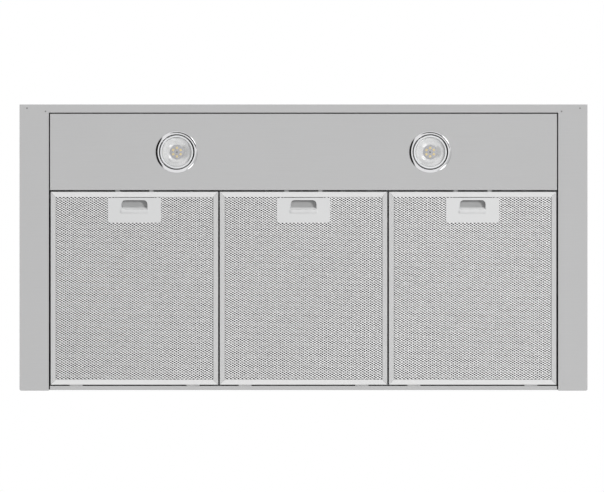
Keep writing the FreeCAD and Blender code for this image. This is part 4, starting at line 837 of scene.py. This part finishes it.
class HOOD_OT_lamps(Operator):
    """Build the chrome bezels, lenses, reflectors and light boards of the two lamps"""
    bl_idname = "hood.lamps"
    bl_label = "Lamps"

    def execute(self, context):
        sizes = context.scene.hood_sizes
        for name in LAMPS:
            low, high = span(name + "_lamp_bezel")
            centre = (low + high) / 2
            bm = bmesh.new()
            lathe(bm, section(BEZEL, (high.x - low.x) / 2, low.z), centre, 96, BEZEL_GROOVE,
                  closed=True)
            piece = new_piece(name + "_bezel_rings", bm, "hood",
                              ("polished_chrome", "bezel_groove"), 40.0)
            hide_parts(name + "_lamp_bezel")

            low, high = span(name + "_lamp_lens")
            bm = bmesh.new()
            lathe(bm, lens_section((high.x - low.x) / 2, low.z, high.z), centre, 96,
                  [0] * 4 + [1] * 6 + [0])
            piece = new_piece(name + "_lens_dome", bm, "hood", ("clear_lens", "lens_rim"))
            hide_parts(name + "_lamp_lens")

            low, high = span(name + "_lamp_board")
            bm = bmesh.new()
            lathe(bm, section(BOWL, 0.0, low.z), centre, 72, closed=True)
            piece = new_piece(name + "_reflector", bm, "hood", ("reflector_cup",))

            bm = bmesh.new()
            light_board(bm, centre, low.z, high.z, sizes.lamp_chip, sizes.lamp_chip_circle)
            piece = new_piece(name + "_light_board", bm, "hood",
                              ("lamp_board_mask", "light_chip", "hub_screw"))
            soften(piece, 0.12 * MM)
            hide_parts(name + "_lamp_board")
            dress("die_cast_fins", name + "_lamp_heat_sink", bend=0.3 * MM)
            dress("spring_strip", name + "_lamp_clips")
        return {"FINISHED"}


def hex_screw(bm, spot, outward):
    """Hex washer head with a driver pit, seen on its sheet."""
    start = len(bm.verts)
    washer = section([(0, 0.02), (3.9, 0.02), (4.0, 0.35), (3.3, 0.62)])
    lathe(bm, washer, (0, 0), 28)
    angles = [math.radians(60 * i) for i in range(6)]
    rings = [[bm.verts.new((radius * MM * math.cos(angle), radius * MM * math.sin(angle),
                            height * MM)) for angle in angles]
             for radius, height in ((3.1, 0.5), (3.1, 2.1), (1.922, 2.2), (1.7298, 1.7))]
    for lower, upper in zip(rings, rings[1:]):
        ring_face(bm, lower, upper)
    bm.faces.new(rings[-1])
    bm.verts.ensure_lookup_table()
    verts = bm.verts[start:]
    turn = Vector((0, 0, 1)).rotation_difference(Vector(outward)).to_matrix()
    bmesh.ops.rotate(bm, verts=verts, matrix=turn)
    bmesh.ops.translate(bm, verts=verts, vec=spot)


def islands_of(node):
    """Low and high corner of each separate solid of a CAD node."""
    bm = bmesh.new()
    bm.from_mesh(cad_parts[node].data)
    bmesh.ops.remove_doubles(bm, verts=bm.verts[:], dist=0.001 * MM)
    left = set(bm.verts)
    found = []
    while left:
        edge = [left.pop()]
        group = []
        while edge:
            vertex = edge.pop()
            group.append(vertex.co)
            for link in vertex.link_edges:
                other = link.other_vert(vertex)
                if other in left:
                    left.discard(other)
                    edge.append(other)
        found.append(tuple(Vector([pick(co[i] for co in group) for i in range(3)])
                           for pick in (min, max)))
    bm.free()
    return sorted(found, key=lambda pair: tuple(round(c, 5) for c in pair[0]))


class HOOD_OT_fasteners(Operator):
    """Build the hex washer head screws and finish the rivets"""
    bl_idname = "hood.fasteners"
    bl_label = "Screws and Rivets"

    def execute(self, context):
        head = 2.2 * MM
        for node in ("motor_box_screws", "collar_screws", "cover_screws", "shell_screws"):
            bm = bmesh.new()
            for low, high in islands_of(node):
                middle = (low + high) / 2
                if node == "shell_screws":
                    sign = 1.0 if middle.x > 0 else -1.0
                    face = (high.x if sign > 0 else low.x) - sign * head
                    hex_screw(bm, (face, middle.y, middle.z), (sign, 0, 0))
                else:
                    hex_screw(bm, (middle.x, middle.y, high.z - head), (0, 0, 1))
            piece = new_piece(node.replace("screws", "hex_heads"), bm, "hood", ("zinc_plate",))
            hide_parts(node)
        dress("rivet_steel", "corner_rivets")
        return {"FINISHED"}


class HOOD_OT_blower(Operator):
    """Finish the scroll, wheel, motor, bracket and capacitor"""
    bl_idname = "hood.blower"
    bl_label = "Blower"

    def execute(self, context):
        dress("galvanised_sheet", "scroll_wrap", "left_scroll_side", "right_scroll_side",
              "impeller", "motor_bracket")
        dress("motor_enamel", "motor")
        dress("ground_steel", "motor_shaft")
        dress("white_case", "capacitor", "lamp_driver", bend=0.6 * MM)
        return {"FINISHED"}


class HOOD_OT_duct_collar(Operator):
    """Finish the duct collar, its flange, the flap pin and the two back-draught flaps"""
    bl_idname = "hood.duct_collar"
    bl_label = "Duct Collar"

    def execute(self, context):
        dress("galvanised_sheet", "duct_collar", "collar_flange", "front_damper_flap",
              "rear_damper_flap")
        dress("ground_steel", "damper_pin")
        return {"FINISHED"}


class HOOD_OT_electrical_box(Operator):
    """Finish the electrical box, its cover, the control board and the terminal block"""
    bl_idname = "hood.electrical_box"
    bl_label = "Electrical Box"

    def execute(self, context):
        dress("galvanised_sheet", "junction_box", "junction_box_cover",
              bend=context.scene.hood_sizes.sheet_bend)
        dress("solder_resist", "control_board")
        dress("white_case", "terminal_block")
        return {"FINISHED"}


def away(azimuth, tilt):
    """Direction at an azimuth from +X towards the front, and a tilt off straight up."""
    turn, lean = math.radians(azimuth), math.radians(tilt)
    return Vector((math.sin(lean) * math.cos(turn), -math.sin(lean) * math.sin(turn),
                   math.cos(lean)))


def cosine(degrees):
    return math.cos(math.radians(degrees))


# what metal mirrors beside the plain room: azimuth, tilt, outer and inner radius in
# degrees, and brightness
MIRRORED = (
    (180, 118, 41, 35, 0.02),  # dark screen on the left
    (-28, 128, 32, 24, 0.62),  # dimmer wall behind on the right
    (39, 134, 11, 7, 3.0),     # two small windows that light up in the lamps' reflectors
    (-46, 134, 11, 7, 4.6),
)


def studio_world(daylight):
    """White where it is seen; where metal mirrors it, white above and below and dimmer
    level with the horizon, with dark screens that draw the edges of bright metal, a
    dimmer wall and two windows."""
    world = bpy.data.worlds.new("studio")
    bpy.context.scene.world = world
    world.use_nodes = True
    room = Nodes(world.node_tree)
    room.tree.nodes.clear()
    ray = room.node("TexCoord").outputs["Generated"]
    height = room.node("SeparateXYZ", ray).outputs["Z"]

    def product(first, second):
        return room.node("Math", first, second, operation="MULTIPLY").outputs[0]

    def along(direction):
        """How far a ray points in a direction."""
        return room.node("VectorMath", ray, direction, operation="DOT_PRODUCT").outputs["Value"]

    upright = room.node("Math", height, operation="ABSOLUTE").outputs[0]
    level = room.ramp(upright, 0.0, 0.75, 0.55, 1.0, smooth=True)
    # a low dark bar in front on the right, 22 to 40 degrees off straight down
    inside = room.ramp(height, -cosine(20), -cosine(24), 0.0, 1.0, smooth=True)
    outside = room.ramp(height, -cosine(38), -cosine(42), 1.0, 0.0, smooth=True)
    reach = room.ramp(along(away(62, 90)), 0.36, 0.42, 0.0, 1.0, smooth=True)
    bar = product(product(inside, outside), reach)
    bar = room.ramp(bar, 0.0, 1.0, 1.0, 0.05, smooth=True)
    rounds = [room.ramp(along(away(azimuth, tilt)), cosine(outer), cosine(inner), 1.0,
                        brightness, smooth=True)
              for azimuth, tilt, outer, inner, brightness in MIRRORED]
    for factor in (rounds[0], bar, *rounds[1:]):
        level = product(level, factor)

    light = room.node("LightPath").outputs
    mirrored = room.node("Math", light["Is Glossy Ray"], light["Is Transmission Ray"],
                         operation="MAXIMUM").outputs[0]
    lit = room.node("Mix", Factor=mirrored, A=daylight, B=level).outputs["Result"]
    seen = room.node("Mix", Factor=light["Is Camera Ray"], A=lit, B=1.0).outputs["Result"]
    background = room.node("Background", Color=(1, 1, 1, 1), Strength=seen)
    room.node("OutputWorld", Surface=background.outputs["Background"])


def floor_material(floor_colour):
    """Pale floor that turns to the backdrop's white far out. It is seen from above only,
    so that the underside can be viewed."""
    material = bpy.data.materials.new("studio_floor")
    material.use_nodes = True
    floor = Nodes(material.node_tree)
    shader = floor.tree.nodes["Principled BSDF"]
    shader.inputs["Base Color"].default_value = (*floor_colour, 1)
    shader.inputs["Roughness"].default_value = 0.9
    shader.inputs["Specular IOR Level"].default_value = 0.1
    place = floor.node("TexCoord").outputs["Object"]
    distance = floor.node("VectorMath", place, operation="LENGTH").outputs["Value"]
    white_from, white_at = 0.8, 2.2
    far = floor.ramp(distance, white_from, white_at, smooth=True)
    fade = floor.node("MixShader", far, shader.outputs["BSDF"],
                      floor.node("Emission").outputs["Emission"])
    mix = floor.node("MixShader", floor.node("NewGeometry").outputs["Backfacing"],
                     fade.outputs["Shader"], floor.node("BsdfTransparent").outputs["BSDF"])
    floor.feed(floor.tree.nodes["Material Output"].inputs["Surface"], mix.outputs["Shader"])
    return material


def studio_floor(floor_colour):
    """Wide floor just below the hood, which the light passes through."""
    bm = bmesh.new()
    bmesh.ops.create_grid(bm, x_segments=1, y_segments=1, size=6.0)
    bmesh.ops.translate(bm, verts=bm.verts[:], vec=(0, 0, -0.5 * MM))
    floor = linked_mesh("studio_floor", bm, [floor_material(floor_colour)])
    floor.visible_diffuse = floor.visible_glossy = False
    floor.visible_transmission = floor.visible_shadow = False


# the softboxes round the hood: azimuth, tilt, share of the power, and side in metres
SOFTBOXES = {
    "key_above": (135, 50, 3.2, 2.0),
    "fill_above": (20, 55, 1.6, 2.4),
    "rear_above": (260, 60, 1.6, 2.4),
    "key_below": (24, 126, 2.45, 1.2),
    "fill_below": (215, 140, 0.62, 2.0),
}
SOFTBOX_DISTANCE = 6.0
SENSOR_WIDTH = 36.0
PICTURE_WIDTH = 604
# the picture's middle in pixels from the hood's middle, along X and Y
PICTURE_SHIFT = (-1.5, -1.6)


def softbox(scene, name, azimuth, tilt, power, size):
    light = bpy.data.lights.new(name, "AREA")
    light.shape = "SQUARE"
    light.size = size
    light.energy = power
    lamp = bpy.data.objects.new(name, light)
    target = Vector((0, 0, 0.1))
    lamp.location = target + away(azimuth, tilt) * SOFTBOX_DISTANCE
    lamp.rotation_mode = "QUATERNION"
    lamp.rotation_quaternion = (target - lamp.location).to_track_quat("-Z", "Y")
    lamp.visible_glossy = False
    scene.collection.objects.link(lamp)


def camera_below(scene, stage):
    """Camera straight below the hood, with the hood's front at the top of the picture."""
    data = bpy.data.cameras.new("below")
    data.sensor_width = SENSOR_WIDTH
    data.lens = stage.lens
    data.clip_start, data.clip_end = 0.1, 50.0
    middle = Vector((*PICTURE_SHIFT, 0)) * stage.pixel
    distance = PICTURE_WIDTH * stage.pixel * data.lens / data.sensor_width
    camera = bpy.data.objects.new("below", data)
    camera.location = middle - Vector((0, 0, distance))
    camera.rotation_mode = "QUATERNION"
    half_turn_about_x = (0, 1, 0, 0)
    camera.rotation_quaternion = half_turn_about_x
    scene.collection.objects.link(camera)
    scene.camera = camera


class HOOD_OT_studio(Operator):
    """Set up the pale floor, the soft light and the camera below the hood"""
    bl_idname = "hood.studio"
    bl_label = "Studio"

    def execute(self, context):
        scene = context.scene
        stage = scene.hood_stage
        scene.view_settings.view_transform = "Standard"
        studio_world(stage.daylight)
        studio_floor(stage.floor)
        for name, (azimuth, tilt, share, size) in SOFTBOXES.items():
            softbox(scene, name, azimuth, tilt, stage.softbox * share, size)
        camera_below(scene, stage)
        return {"FINISHED"}


class HOOD_PT_sidebar(Panel):
    """Sizes, colours and steps of the range hood"""
    bl_label = "Range Hood Insert"
    bl_idname = "HOOD_PT_sidebar"
    bl_space_type = "VIEW_3D"
    bl_region_type = "UI"
    bl_category = "Range Hood"

    def draw(self, context):
        layout = self.layout
        for name, _ in GROUPS:
            group = getattr(context.scene, name)
            box = layout.box()
            for entry in group.__annotations__:
                box.prop(group, entry)
        for operator in OPERATORS:
            layout.operator(operator.bl_idname)


OPERATORS = (
    HOOD_OT_steel_shell,
    HOOD_OT_inner_sheets,
    HOOD_OT_filter_frames,
    HOOD_OT_filter_nets,
    HOOD_OT_latches,
    HOOD_OT_lamps,
    HOOD_OT_fasteners,
    HOOD_OT_blower,
    HOOD_OT_duct_collar,
    HOOD_OT_electrical_box,
    HOOD_OT_studio,
)
GROUPS = (("hood_sizes", HoodSizes), ("hood_colours", HoodColours), ("hood_stage", HoodStage))


def register():
    for name, group in GROUPS:
        bpy.utils.register_class(group)
        setattr(bpy.types.Scene, name, PointerProperty(type=group))
    for entry in OPERATORS + (HOOD_PT_sidebar,):
        bpy.utils.register_class(entry)


def unregister():
    for entry in reversed(OPERATORS + (HOOD_PT_sidebar,)):
        bpy.utils.unregister_class(entry)
    for name, group in reversed(GROUPS):
        delattr(bpy.types.Scene, name)
        bpy.utils.unregister_class(group)


def main():
    register()
    for operator in OPERATORS:
        group, name = operator.bl_idname.split(".")
        result = getattr(getattr(bpy.ops, group), name)()
        if result != {"FINISHED"}:
            raise RuntimeError(f"{operator.bl_label} did not finish")


if __name__ == "__main__":
    main()
